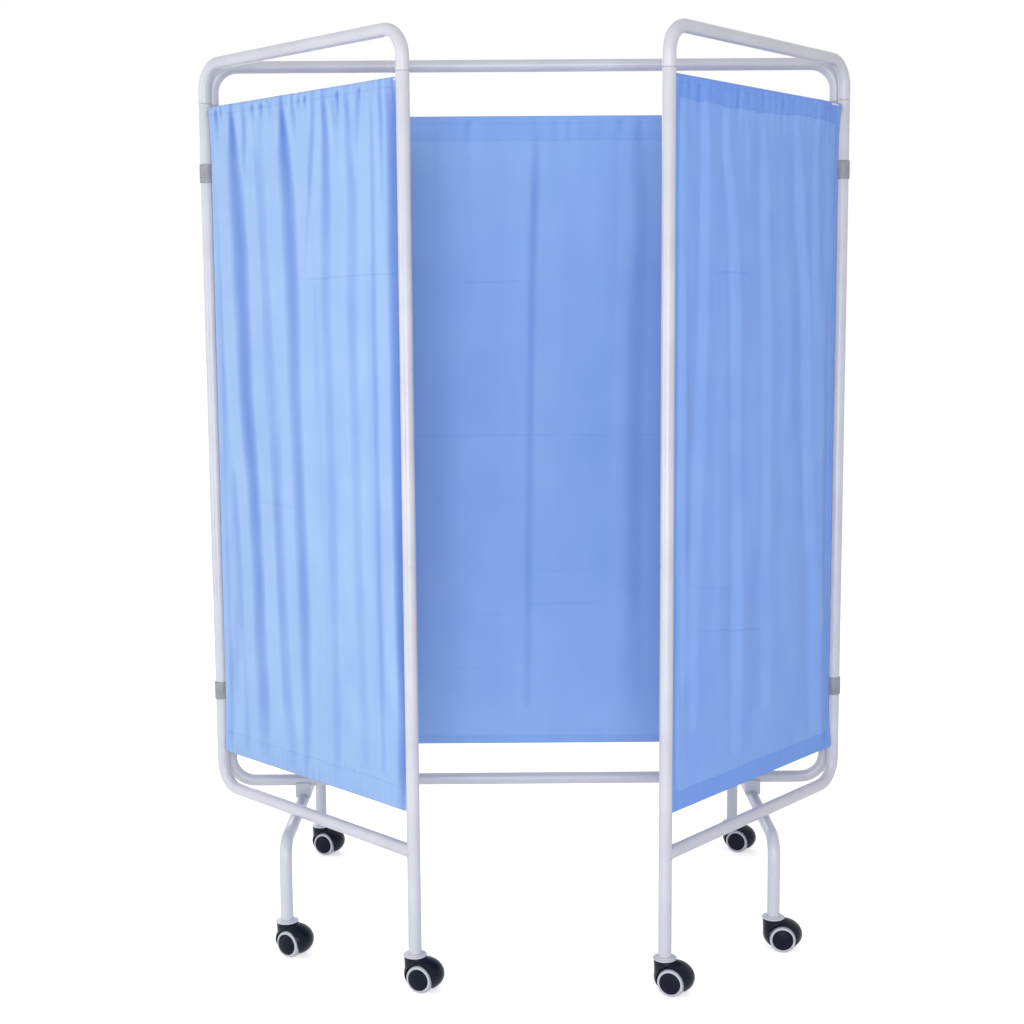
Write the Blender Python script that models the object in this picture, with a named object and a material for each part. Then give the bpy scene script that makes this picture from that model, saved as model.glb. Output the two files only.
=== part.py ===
# Folding bedside screen: a wide centre panel on two arched feet, with a wing hinged to each side.
# Metres, +Z up, floor at zero. The viewer stands at -Y, and the wings fold towards the viewer.

import math

import bmesh
import bpy
from mathutils import Vector

# Overall sizes
screenHeight = 1.800          # floor to the top of the top rails
centreWidth = 1.320           # outside to outside of the centre posts
wingWidth = 0.660             # outside to outside of one wing
tubeDiameter = 0.025
tubeWall = 0.0015
bendRadius = 0.052            # of the frames, to the centreline of the tube
railHeight = 0.2675           # axis of the bottom rails above the floor
seamDrop = 0.090              # top of the screen down to where the upper tubes sit on the posts
plugLength = 0.025            # reduced end of a post, inside the upper tube
boreTaper = 0.003             # length over which the bore of that end narrows
seamChamfer = 0.0008
fitGap = 0.0003               # between pieces that touch
centreSetBack = 0.1110        # plane of the centre panel behind the origin

# Wings and hinge clips
leftWingAngle = math.radians(46.5)     # between the wing and the centre panel
rightWingAngle = math.radians(50.0)
hingePitch = 0.030            # centre post to wing post, axis to axis
clipHeight = 0.038
clipWall = 0.0014
clipRunningGap = 0.0003
clipWebWidth = 0.016
upperClipDrop = 0.231         # top of the screen down to the middle of the upper clips
lowerClipRise = 0.2095        # bottom rail axis up to the middle of the lower clips

# Feet
footInset = 0.1695            # outside of a centre post to the arch beside it
footLength = 0.615            # front leg axis to rear leg axis
archDrop = 0.040              # bottom rail axis to arch axis
archBendRadius = 0.040        # to the centreline of the tube
saddleSide = 0.033
saddleStop = 0.004            # saddle faces short of the tube axes

# Curtains and their rods
rodDiameter = 0.008
rodReach = 0.006              # rod end inside the post's outer surface
drillClearance = 0.0003
wingCurtainDrop = 0.097       # top of the screen down to the curtain
wingCurtainRise = 0.0755       # bottom rail axis up to the curtain
centreCurtainDrop = 0.114
centreCurtainRise = 0.0785
clothThickness = 0.0012
pocketClearance = 0.0003      # pocket round its rod
curtainSideGap = 0.0045       # curtain edge to post
pocketNeck = 0.006            # height over which a pocket narrows to the cloth
headerDepth = 0.055           # seam of the top pocket below the curtain's top
hemDepth = 0.018              # seam of the bottom pocket above the curtain's bottom
foldRise = 0.160              # height over which the folds grow to their full depth
wingFoldPitch = 0.086
wingFoldDepth = 0.0085
centreFoldPitch = 0.315
centreFoldDepth = 0.0050
headerFoldShare = 0.45        # depth of a fold at the top seam
hemFoldShare = 0.25           # depth of a fold at the bottom seam
foldUnevenShare = 0.30        # how much the folds differ in depth
foldDriftShare = 0.55         # how much the folds wander sideways

# Castors
castorHeight = 0.0695         # floor to the end of the tube
castorTrail = 0.019           # swivel axis to wheel axle
# Directions of the trail from +X, seen from above: wing, front and rear castor of each side
leftHeadings = (math.radians(-25.0), math.radians(-33.0), math.radians(-25.0))
rightHeadings = (math.radians(-25.0), math.radians(-8.0), math.radians(-25.0))
wheelDiameter = 0.054
wheelWidth = 0.0215
wheelShoulder = 0.0085        # width of the rounded shoulder beside the tread
shoulderRiseShare = 0.45      # middle of the shoulder: share of its width from the tread
shoulderDropShare = 0.14      # and share of its depth
hoodLength = 0.079            # along the trail
hoodWidth = 0.074
hoodHeight = 0.062            # of the whole ball, before its underside is cut flat
hoodCentreHeight = 0.0325
hoodGroundClearance = 0.008
hoodWeb = 0.009               # middle wall between the wheels
wheelRoom = 0.0016            # free space round a wheel inside the hood
wheelSideGap = 0.0004         # wheel to the middle wall
neckTopRadius = 0.0215
neckBottomRadius = 0.0205
neckGap = 0.0004              # hood to collar plate
collarRadius = 0.0225
collarThickness = 0.003
collarLipRadius = 0.0165      # raised ring that the tube stands on
collarLipHeight = 0.002
stemPlugLength = 0.030
swivelPinRadius = 0.0045
swivelPinLength = 0.011       # below the collar plate
swivelGap = 0.0004
axleRadius = 0.0035
axleGap = 0.0004
discRadius = 0.0203
discRim = 0.0040              # straight edge of the hub disc
discDome = 0.0035             # how far the disc bulges
discDomeShoulderShare = 0.62  # radius of the dome's middle ring, of the disc's radius
discDomeRiseShare = 0.72      # its height, of the dome's height
discSeatDepth = 0.003         # recess of the disc in the wheel
cutOverrun = 0.004            # how far cutters run past what they cut

# Facets
tubeSides = 14
boreSides = 10
bendSteps = 5
rodSides = 8
barrelSides = 18
wheelSides = 16
discSides = 12
stemSides = 12
hoodSides = 16
hoodRings = 7
pocketSides = 6
wingFoldColumns = 28
centreFoldColumns = 16
sharpAngle = math.radians(38.0)

# Derived sizes
tubeRadius = tubeDiameter / 2
boreRadius = tubeRadius - tubeWall
plugRadius = boreRadius * math.cos(math.pi / boreSides) - fitGap
plugBoreRadius = plugRadius - tubeWall
halfSpan = centreWidth / 2 - tubeRadius
wingSpan = wingWidth - tubeDiameter
topRailHeight = screenHeight - tubeRadius
seamHeight = screenHeight - seamDrop
upperClipCentre = screenHeight - upperClipDrop
lowerClipCentre = railHeight + lowerClipRise
footSpacing = centreWidth - 2 * footInset
wingCurtainTop = screenHeight - wingCurtainDrop
centreCurtainTop = screenHeight - centreCurtainDrop
wingCurtainBottom = railHeight + wingCurtainRise
centreCurtainBottom = railHeight + centreCurtainRise
archHeight = railHeight - archDrop
rodRadius = rodDiameter / 2
clothStart = tubeRadius + curtainSideGap
wheelRadius = wheelDiameter / 2
collarTop = castorHeight - fitGap
plateTop = collarTop - collarLipHeight
collarBottom = plateTop - collarThickness
wheelInnerFace = hoodWeb / 2 + wheelSideGap
wheelOuterFace = wheelInnerFace + wheelWidth
along = Vector((1, 0, 0))
across = Vector((0, 1, 0))
up = Vector((0, 0, 1))

# Finishes: colour, roughness, metallic
paint = ((0.80, 0.80, 0.86), 0.35, 0.0)
clipPlastic = ((0.42, 0.42, 0.46), 0.50, 0.0)
zincedSteel = ((0.62, 0.62, 0.64), 0.35, 1.0)
collarPlastic = ((0.66, 0.67, 0.71), 0.40, 0.0)
hoodPlastic = ((0.035, 0.038, 0.050), 0.30, 0.0)
wheelPlastic = ((0.60, 0.61, 0.65), 0.45, 0.0)
discPlastic = ((0.030, 0.032, 0.042), 0.35, 0.0)
curtainCloth = ((0.17, 0.31, 0.74), 0.85, 0.0)
paleCurtainCloth = ((0.34, 0.52, 0.87), 0.85, 0.0)


# Radius of a polygon whose flats clear a round of the given radius
def clearRadius(radius, sides):
    return radius / math.cos(math.pi / sides)


# A closed ring of points round a centre, in the plane of two axes
def ring(centre, axisA, axisB, radius, sides, turnShare=0.0):
    points = []
    for step in range(sides):
        angle = 2 * math.pi * (step + turnShare) / sides
        points.append(centre + axisA * (radius * math.cos(angle)) + axisB * (radius * math.sin(angle)))
    return points


# Skin over a row of rings: capped at both ends, or joined end to end when it is a hoop
def loft(rings, hoop=False):
    work = bmesh.new()
    rows = [[work.verts.new(point) for point in points] for points in rings]
    pairs = list(zip(rows, rows[1:]))
    if hoop:
        pairs.append((rows[-1], rows[0]))
    for lower, upper in pairs:
        for index in range(len(lower)):
            after = (index + 1) % len(lower)
            work.faces.new((lower[index], lower[after], upper[after], upper[index]))
    if not hoop:
        work.faces.new(rows[0])
        work.faces.new(rows[-1])
    return finishMesh(work)


def finishMesh(work):
    bmesh.ops.recalc_face_normals(work, faces=work.faces)
    mesh = bpy.data.meshes.new("shape")
    work.to_mesh(mesh)
    work.free()
    return mesh


# Straight round bar between two points
def bar(start, end, radius, sides, turnShare=0.0):
    axis = (end - start).normalized()
    axisA = across if axis.cross(across).length > 0 else along
    axisB = axis.cross(axisA)
    return loft([ring(place, axisA, axisB, radius, sides, turnShare) for place in (start, end)])


# Turned shape from (radius, distance along the axis) pairs
def turned(profile, axis, sides, hoop=False, turnShare=0.0):
    axisA = up if axis == across else along
    axisB = axis.cross(axisA)
    rings = [ring(axis * place, axisA, axisB, radius, sides, turnShare) for radius, place in profile]
    return loft(rings, hoop)


# Tube surface that follows (point, radius) stations in the plane whose normal is given
def swept(stations, normal, sides):
    places = [place for place, radius in stations]
    rings = []
    for index, (place, radius) in enumerate(stations):
        before = [place - other for other in places[:index] if (place - other).length > 0]
        after = [other - place for other in places[index + 1:] if (other - place).length > 0]
        arriving = before[-1].normalized() if before else after[0].normalized()
        leaving = after[0].normalized() if after else arriving
        tangent = (arriving + leaving).normalized()
        side = tangent.cross(normal) / tangent.dot(arriving)
        rings.append(ring(place, normal, side, radius, sides))
    return loft(rings)


# Corner points of a bent tube, each inner corner replaced by an arc
def bentPath(corners, radius=bendRadius):
    path = [corners[0]]
    for before, corner, after in zip(corners, corners[1:], corners[2:]):
        arriving = (corner - before).normalized()
        leaving = (after - corner).normalized()
        middle = corner - arriving * radius + leaving * radius
        for step in range(bendSteps + 1):
            angle = math.pi / 2 * step / bendSteps
            path.append(middle + (arriving * math.sin(angle) - leaving * math.cos(angle)) * radius)
    path.append(corners[-1])
    return path


# Solid changed by cutters or additions, in order
def shaped(bodyMesh, steps):
    item = bpy.data.objects.new("body", bodyMesh)
    bpy.context.collection.objects.link(item)
    tools = []
    for operation, toolMesh in steps:
        tool = bpy.data.objects.new("tool", toolMesh)
        bpy.context.collection.objects.link(tool)
        tools.append(tool)
        change = item.modifiers.new(operation, "BOOLEAN")
        change.operation = operation
        change.object = tool
    graph = bpy.context.evaluated_depsgraph_get()
    result = bpy.data.meshes.new_from_object(item.evaluated_get(graph))
    for used in [item, *tools]:
        bpy.data.objects.remove(used, do_unlink=True)
    return result


def addPivot(name, place, turn=0.0, parent=None):
    pivot = bpy.data.objects.new(name, None)
    bpy.context.collection.objects.link(pivot)
    pivot.location = place
    pivot.rotation_euler.z = turn
    pivot.parent = parent
    return pivot


def addPart(name, mesh, finish, parent, place=(0, 0, 0), turn=0.0):
    colour, roughness, metallic = finish
    material = bpy.data.materials.new(name + "_finish")
    material.use_nodes = True
    shader = material.node_tree.nodes["Principled BSDF"]
    shader.inputs["Base Color"].default_value = (*colour, 1)
    shader.inputs["Roughness"].default_value = roughness
    shader.inputs["Metallic"].default_value = metallic
    material.diffuse_color = (*colour, 1)
    mesh.shade_smooth()
    mesh.set_sharp_from_angle(angle=sharpAngle)
    if not mesh.materials:
        mesh.materials.append(None)
    item = bpy.data.objects.new(name, mesh)
    bpy.context.collection.objects.link(item)
    item.location = place
    item.rotation_euler.z = turn
    item.parent = parent
    item.material_slots[0].link = "OBJECT"
    item.material_slots[0].material = material
    return item


# Upper end of a post at x, bottom to top: shoulder at the seam and reduced plug above it
def plugStations(x):
    seam = Vector((x, 0, seamHeight))
    return [
        (seam - up * seamChamfer, tubeRadius),
        (seam, tubeRadius - seamChamfer),
        (seam, plugRadius),
        (seam + up * plugLength, plugRadius),
    ]


def plugBoreStations(x):
    seam = Vector((x, 0, seamHeight))
    return [
        (seam - up * boreTaper, boreRadius),
        (seam, plugBoreRadius),
        (seam + up * (plugLength + cutOverrun), plugBoreRadius),
    ]


# Round hole for a rod, through one wall of the post at postX
def rodHole(postX, side, height):
    start = Vector((postX + side * (boreRadius - cutOverrun), 0, height))
    end = Vector((postX + side * (tubeRadius + cutOverrun), 0, height))
    return bar(start, end, clearRadius(rodRadius + drillClearance, rodSides), rodSides, 0.5)


def rodHeights(top, bottom):
    reach = clearRadius(rodRadius + pocketClearance, pocketSides) + clothThickness
    drop = reach * math.cos(math.pi / pocketSides)
    return top - drop, bottom + drop


# Top of a frame: one tube bent twice, open legs pushed over two posts
def upperTubeMesh(firstX, lastX):
    foot = seamHeight + fitGap
    corners = [
        Vector((firstX, 0, foot)),
        Vector((firstX, 0, topRailHeight)),
        Vector((lastX, 0, topRailHeight)),
        Vector((lastX, 0, foot)),
    ]
    outside = swept([(place, tubeRadius) for place in bentPath(corners)], across, tubeSides)
    corners[0] = corners[0] - up * cutOverrun
    corners[-1] = corners[-1] - up * cutOverrun
    bore = swept([(place, boreRadius) for place in bentPath(corners)], across, boreSides)
    return shaped(outside, [("DIFFERENCE", bore)])


# Two posts and the bottom rail of the centre frame: one tube bent twice
def centreLowerTubeMesh():
    corners = [
        Vector((-halfSpan, 0, seamHeight - seamChamfer)),
        Vector((-halfSpan, 0, railHeight)),
        Vector((halfSpan, 0, railHeight)),
        Vector((halfSpan, 0, seamHeight - seamChamfer)),
    ]
    outline = [(place, tubeRadius) for place in bentPath(corners)[1:-1]]
    hollow = [(place, boreRadius) for place in bentPath(corners)[1:-1]]
    outside = plugStations(-halfSpan)[::-1] + outline + plugStations(halfSpan)
    inside = plugBoreStations(-halfSpan)[::-1] + hollow + plugBoreStations(halfSpan)
    cuts = [("DIFFERENCE", swept(inside, across, boreSides))]
    for height in rodHeights(centreCurtainTop, centreCurtainBottom):
        cuts.append(("DIFFERENCE", rodHole(-halfSpan, 1, height)))
        cuts.append(("DIFFERENCE", rodHole(halfSpan, -1, height)))
    return shaped(swept(outside, across, tubeSides), cuts)


# Hinge post and bottom rail of a wing: one tube bent once, its rail end coped to the front post
def wingHingeTubeMesh():
    corners = [
        Vector((0, 0, seamHeight)),
        Vector((0, 0, railHeight)),
        Vector((wingSpan, 0, railHeight)),
    ]
    outline = [(place, tubeRadius) for place in bentPath(corners)[1:]]
    outside = plugStations(0)[::-1] + outline
    corners[-1] = corners[-1] + along * cutOverrun
    hollow = [(place, boreRadius) for place in bentPath(corners)[1:]]
    inside = plugBoreStations(0)[::-1] + hollow
    cope = bar(
        Vector((wingSpan, 0, railHeight - tubeDiameter)),
        Vector((wingSpan, 0, railHeight + tubeDiameter)),
        clearRadius(tubeRadius + fitGap, tubeSides),
        tubeSides,
    )
    cuts = [("DIFFERENCE", swept(inside, across, boreSides)), ("DIFFERENCE", cope)]
    for height in rodHeights(wingCurtainTop, wingCurtainBottom):
        cuts.append(("DIFFERENCE", rodHole(0, 1, height)))
    return shaped(swept(outside, across, tubeSides), cuts)


# Front post of a wing, from its castor to the seam
def wingFrontPostMesh():
    foot = Vector((wingSpan, 0, castorHeight))
    outside = [(foot, tubeRadius)] + plugStations(wingSpan)
    inside = [(foot - up * cutOverrun, boreRadius)] + plugBoreStations(wingSpan)
    cuts = [("DIFFERENCE", swept(inside, across, boreSides))]
    for height in rodHeights(wingCurtainTop, wingCurtainBottom):
        cuts.append(("DIFFERENCE", rodHole(wingSpan, -1, height)))
    return shaped(swept(outside, across, tubeSides), cuts)


# Foot: a tube bent into an arch that runs front to back under the bottom rail
def footArchMesh():
    reach = footLength / 2
    corners = [
        Vector((0, -reach, castorHeight)),
        Vector((0, -reach, archHeight)),
        Vector((0, reach, archHeight)),
        Vector((0, reach, castorHeight)),
    ]
    path = bentPath(corners, archBendRadius)
    outside = swept([(place, tubeRadius) for place in path], along, tubeSides)
    corners[0] = corners[0] - up * cutOverrun
    corners[-1] = corners[-1] - up * cutOverrun
    path = bentPath(corners, archBendRadius)
    bore = swept([(place, boreRadius) for place in path], along, boreSides)
    return shaped(outside, [("DIFFERENCE", bore)])


# Block between the bottom rail and a foot, with a half-round groove for each tube
def saddleMesh():
    half = saddleSide / 2
    corners = [(-half, -half), (half, -half), (half, half), (-half, half)]
    levels = (archHeight + saddleStop, railHeight - saddleStop)
    block = loft([[Vector((x, y, level)) for x, y in corners] for level in levels])
    grip = clearRadius(tubeRadius + fitGap, tubeSides)
    overrun = half + cutOverrun
    railGroove = bar(
        Vector((-overrun, 0, railHeight)), Vector((overrun, 0, railHeight)), grip, tubeSides)
    archGroove = bar(
        Vector((0, -overrun, archHeight)), Vector((0, overrun, archHeight)), grip, tubeSides)
    return shaped(block, [("DIFFERENCE", railGroove), ("DIFFERENCE", archGroove)])


# Hinge clip: two barrels joined by a web, the first round the centre post, the second round the wing's
def clipMesh():
    boreClear = clearRadius(tubeRadius + clipRunningGap, tubeSides)
    barrelRadius = boreClear + clipWall
    low = up * (-clipHeight / 2)
    high = up * (clipHeight / 2)
    over = up * cutOverrun
    wingPost = along * hingePitch
    web = bar(low + wingPost / 2, high + wingPost / 2, clipWebWidth / math.sqrt(2), 4, 0.5)
    steps = [
        ("UNION", bar(low + wingPost, high + wingPost, barrelRadius, barrelSides)),
        ("UNION", web),
        ("DIFFERENCE", bar(low - over, high + over, boreClear, tubeSides)),
        ("DIFFERENCE", bar(low - over + wingPost, high + over + wingPost, boreClear, tubeSides)),
    ]
    return shaped(bar(low, high, barrelRadius, barrelSides), steps)


def rodMesh(startX, endX):
    return bar(along * startX, along * endX, rodRadius, rodSides, 0.5)


# Cross-section of a curtain as (y, z, fold share) points and the quads between them:
# a pocket round each rod, joined by a sheet whose folds grow away from the rods
def curtainSection(top, bottom):
    inner = clearRadius(rodRadius + pocketClearance, pocketSides)
    outer = inner + clothThickness
    topRod, bottomRod = rodHeights(top, bottom)
    points = []
    quads = []
    sheetEnds = []
    for height, firstAngle in ((topRod, -math.pi / 3), (bottomRod, math.pi * 2 / 3)):
        base = len(points)
        for radius in (outer, inner):
            for step in range(pocketSides):
                angle = firstAngle + 2 * math.pi * step / pocketSides
                points.append((radius * math.cos(angle), height + radius * math.sin(angle), 0))
        for step in range(pocketSides):
            after = (step + 1) % pocketSides
            quads.append((base + step, base + after, base + pocketSides + after, base + pocketSides + step))
        sheetEnds.append((base + pocketSides - 1, base))
    half = clothThickness / 2
    pocketDrop = outer * math.cos(math.pi / pocketSides)
    rows = [
        (topRod - pocketDrop - pocketNeck, 0),
        (top - headerDepth, headerFoldShare),
        (top - headerDepth - foldRise, 1),
        ((top + bottom) / 2, 1),
        (bottom + hemDepth + foldRise, 1),
        (bottom + hemDepth + pocketNeck, hemFoldShare),
        (bottomRod + pocketDrop + pocketNeck / 2, 0),
    ]
    last = sheetEnds[0]
    for height, share in rows:
        base = len(points)
        points.append((-half, height, share))
        points.append((half, height, share))
        quads.append((last[0], last[1], base + 1, base))
        last = (base, base + 1)
    quads.append((last[0], last[1], sheetEnds[1][0], sheetEnds[1][1]))
    return points, quads


# Sideways place of the cloth at a share of its width
def foldOffset(share, folds, depth):
    drift = foldDriftShare * math.sin(2 * math.pi * share)
    uneven = 1 - foldUnevenShare + foldUnevenShare * math.sin(2 * math.pi * (share + drift / 2))
    return depth * uneven * math.sin(2 * math.pi * folds * share + drift)


# The quads between two columns are split so that front and back share their diagonals,
# which keeps the cloth equally thick where a fold twists
def curtainMesh(width, top, bottom, pitch, depth, columns):
    points, quads = curtainSection(top, bottom)
    folds = width / pitch
    work = bmesh.new()
    grid = []
    for column in range(columns + 1):
        share = column / columns
        offset = foldOffset(share, folds, depth)
        grid.append([work.verts.new((width * share, y + offset * part, z)) for y, z, part in points])
    edges = {}
    for quad in quads:
        for pair in zip(quad, quad[1:] + quad[:1]):
            edges.setdefault(tuple(sorted(pair)), []).append(pair)
    rim = [pairs[0] for pairs in edges.values() if len(pairs) == 1]
    for left, right in zip(grid, grid[1:]):
        for first, second in rim:
            corners = [left[first], left[second], right[second], right[first]]
            if points[first][1] < points[second][1]:
                corners = corners[1:] + corners[:1]
            work.faces.new(corners[:3])
            work.faces.new((corners[0], corners[2], corners[3]))
    for column in (grid[0], grid[-1]):
        for quad in quads:
            work.faces.new([column[index] for index in quad])
    return finishMesh(work)


# Stem of a castor: plug in the tube, collar plate and swivel pin
def stemMesh():
    return turned(
        [
            (swivelPinRadius, collarBottom - swivelPinLength),
            (swivelPinRadius, collarBottom),
            (collarRadius, collarBottom),
            (collarRadius, plateTop),
            (collarLipRadius, plateTop),
            (collarLipRadius, collarTop),
            (plugRadius, collarTop),
            (plugRadius, castorHeight + stemPlugLength),
        ],
        up,
        stemSides,
    )


# Hood of a castor: a ball with a flat underside, a neck up to the collar plate,
# a pocket for each wheel and bores for the axle and the swivel pin
def hoodMesh():
    ballCentre = along * castorTrail + up * hoodCentreHeight
    axle = along * castorTrail + up * wheelRadius
    halfLength = hoodLength / 2
    halfWidth = hoodWidth / 2
    halfHeight = hoodHeight / 2
    lowest = math.asin((hoodGroundClearance - hoodCentreHeight) / halfHeight)
    highest = math.pi / 2 * (1 - 1 / hoodRings / 2)
    rings = []
    for step in range(hoodRings + 1):
        angle = lowest + (highest - lowest) * step / hoodRings
        centre = ballCentre + up * (halfHeight * math.sin(angle))
        levelShare = math.cos(angle)
        rings.append(ring(centre, along * halfLength, across * halfWidth, levelShare, hoodSides, 0.5))
    neckTop = up * (collarBottom - neckGap)
    neck = loft([
        ring(up * hoodCentreHeight, along, across, neckBottomRadius, hoodSides),
        ring(neckTop, along, across, neckTopRadius, hoodSides),
    ])
    steps = [("UNION", neck)]
    wheelClear = clearRadius(clearRadius(wheelRadius, wheelSides) + wheelRoom, wheelSides)
    for side in (-1, 1):
        start = axle + across * (side * hoodWeb / 2)
        end = axle + across * (side * (halfWidth + cutOverrun))
        steps.append(("DIFFERENCE", bar(start, end, wheelClear, wheelSides, 0.5)))
    axleBore = clearRadius(axleRadius + axleGap, discSides)
    steps.append(("DIFFERENCE", bar(axle - across * hoodWeb, axle + across * hoodWeb, axleBore, discSides)))
    pinEnd = up * (collarBottom - swivelPinLength - swivelGap)
    pinBore = clearRadius(swivelPinRadius + swivelGap, stemSides)
    steps.append(("DIFFERENCE", bar(pinEnd, neckTop + up * cutOverrun, pinBore, stemSides)))
    return shaped(loft(rings), steps)


# Axle of a castor with the domed disc at each end
def axleMesh():
    seat = wheelOuterFace - discSeatDepth + axleGap
    rim = seat + discRim
    half = [
        (discRadius * discDomeShoulderShare, rim + discDome * discDomeRiseShare),
        (discRadius, rim),
        (discRadius, seat),
        (axleRadius, seat),
    ]
    tip = (discRadius * discDomeShoulderShare / discSides, rim + discDome)
    profile = [tip] + half
    return turned(profile + [(radius, -place) for radius, place in profile[::-1]], across, discSides)


# Wheel about the Y axis, its inner face towards zero, a recess for the hub disc outside
def wheelMesh():
    bore = clearRadius(axleRadius + axleGap, wheelSides)
    tread = clearRadius(wheelRadius, wheelSides)
    recess = clearRadius(discRadius + axleGap, wheelSides)
    depth = tread - recess
    profile = [
        (bore, wheelInnerFace),
        (tread, wheelInnerFace),
        (tread, wheelOuterFace - wheelShoulder),
        (tread - depth * shoulderDropShare, wheelOuterFace - wheelShoulder * (1 - shoulderRiseShare)),
        (recess, wheelOuterFace),
        (recess, wheelOuterFace - discSeatDepth),
        (bore, wheelOuterFace - discSeatDepth),
    ]
    return turned(profile, across, wheelSides, hoop=True, turnShare=0.5)


def addRodPair(name, startX, endX, top, bottom, parent):
    upperHeight, lowerHeight = rodHeights(top, bottom)
    mesh = rodMesh(startX + tubeRadius - rodReach, endX - tubeRadius + rodReach)
    addPart(name + "_upper_rod", mesh, zincedSteel, parent, (0, 0, upperHeight))
    addPart(name + "_lower_rod", mesh, zincedSteel, parent, (0, 0, lowerHeight))


def addCentreFrame(centre):
    addPart("centre_upper_tube", upperTubeMesh(-halfSpan, halfSpan), paint, centre)
    addPart("centre_lower_tube", centreLowerTubeMesh(), paint, centre)
    addRodPair("centre", -halfSpan, halfSpan, centreCurtainTop, centreCurtainBottom, centre)
    curtain = curtainMesh(
        2 * (halfSpan - clothStart), centreCurtainTop, centreCurtainBottom,
        centreFoldPitch, centreFoldDepth, centreFoldColumns)
    addPart("centre_curtain", curtain, curtainCloth, centre, (clothStart - halfSpan, 0, 0))


def addFeet(centre):
    arch = footArchMesh()
    saddle = saddleMesh()
    for side, sign in (("left", -1), ("right", 1)):
        place = (sign * footSpacing / 2, 0, 0)
        addPart(side + "_foot_arch", arch, paint, centre, place)
        addPart(side + "_foot_saddle", saddle, collarPlastic, centre, place)


def addCastor(name, carrier, place, turn, meshes):
    stem, hood, axle, wheel = meshes
    addPart(name + "_castor_stem", stem, collarPlastic, carrier, place)
    swivel = addPivot(name + "_castor_swivel", place, turn, carrier)
    addPart(name + "_castor_hood", hood, hoodPlastic, swivel)
    hub = (castorTrail, 0, wheelRadius)
    addPart(name + "_castor_axle", axle, discPlastic, swivel, hub)
    addPart(name + "_castor_near_wheel", wheel, wheelPlastic, swivel, hub, math.pi)
    addPart(name + "_castor_far_wheel", wheel, wheelPlastic, swivel, hub)


def addWing(side, sign, angle, cloth, centre, clip, meshes):
    clipAngle = math.pi / 2 - angle / 2
    towardsPost = -clipAngle if sign > 0 else clipAngle - math.pi
    wingTurn = math.pi + angle if sign > 0 else -angle
    post = Vector((sign * halfSpan, 0, 0))
    clipPivot = addPivot(side + "_clip_pivot", post, towardsPost, centre)
    addPart(side + "_upper_clip", clip, clipPlastic, clipPivot, (0, 0, upperClipCentre))
    addPart(side + "_lower_clip", clip, clipPlastic, clipPivot, (0, 0, lowerClipCentre))
    wing = addPivot(side + "_wing_pivot", along * hingePitch, wingTurn - towardsPost, clipPivot)
    addPart(side + "_wing_upper_tube", meshes["top"], paint, wing)
    addPart(side + "_wing_hinge_tube", meshes["hinge"], paint, wing)
    addPart(side + "_wing_front_post", meshes["front"], paint, wing)
    addRodPair(side + "_wing", 0, wingSpan, wingCurtainTop, wingCurtainBottom, wing)
    addPart(side + "_wing_curtain", meshes["curtain"], cloth, wing, (clothStart, 0, 0))
    return wing, wingTurn


def buildScreen():
    for item in list(bpy.data.objects):
        bpy.data.objects.remove(item, do_unlink=True)
    centre = addPivot("centre_plane", (0, centreSetBack, 0))
    addCentreFrame(centre)
    addFeet(centre)
    castorMeshes = (stemMesh(), hoodMesh(), axleMesh(), wheelMesh())
    clip = clipMesh()
    wingMeshes = {
        "top": upperTubeMesh(0, wingSpan),
        "hinge": wingHingeTubeMesh(),
        "front": wingFrontPostMesh(),
        "curtain": curtainMesh(
            wingSpan - 2 * clothStart, wingCurtainTop, wingCurtainBottom,
            wingFoldPitch, wingFoldDepth, wingFoldColumns),
    }
    sides = (
        ("left", -1, leftWingAngle, paleCurtainCloth, leftHeadings),
        ("right", 1, rightWingAngle, curtainCloth, rightHeadings),
    )
    for side, sign, angle, cloth, headings in sides:
        wingHeading, frontHeading, rearHeading = headings
        wing, wingTurn = addWing(side, sign, angle, cloth, centre, clip, wingMeshes)
        addCastor(side + "_wing", wing, (wingSpan, 0, 0), wingHeading - wingTurn, castorMeshes)
        for end, direction, heading in (("front", -1, frontHeading), ("rear", 1, rearHeading)):
            place = (sign * footSpacing / 2, direction * footLength / 2, 0)
            addCastor(side + "_" + end, centre, place, heading, castorMeshes)


buildScreen()
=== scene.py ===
import math

import bmesh
import bpy
import numpy as np
from mathutils import Matrix, Vector


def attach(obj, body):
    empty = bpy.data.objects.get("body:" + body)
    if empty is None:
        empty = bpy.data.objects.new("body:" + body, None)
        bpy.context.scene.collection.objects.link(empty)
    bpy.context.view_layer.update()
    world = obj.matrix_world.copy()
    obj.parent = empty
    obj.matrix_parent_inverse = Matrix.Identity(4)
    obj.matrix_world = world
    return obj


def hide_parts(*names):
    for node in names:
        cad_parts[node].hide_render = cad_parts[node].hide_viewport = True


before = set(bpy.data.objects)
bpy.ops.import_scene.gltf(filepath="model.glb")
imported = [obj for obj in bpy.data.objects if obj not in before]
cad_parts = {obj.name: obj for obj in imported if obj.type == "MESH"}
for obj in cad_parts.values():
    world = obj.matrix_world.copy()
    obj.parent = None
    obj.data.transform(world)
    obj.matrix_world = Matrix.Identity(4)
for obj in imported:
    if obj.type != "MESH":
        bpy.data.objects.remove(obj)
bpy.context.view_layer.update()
print("frame loaded:", len(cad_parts), "nodes")

scene = bpy.context.scene
scene.view_settings.view_transform = "Standard"

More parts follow.
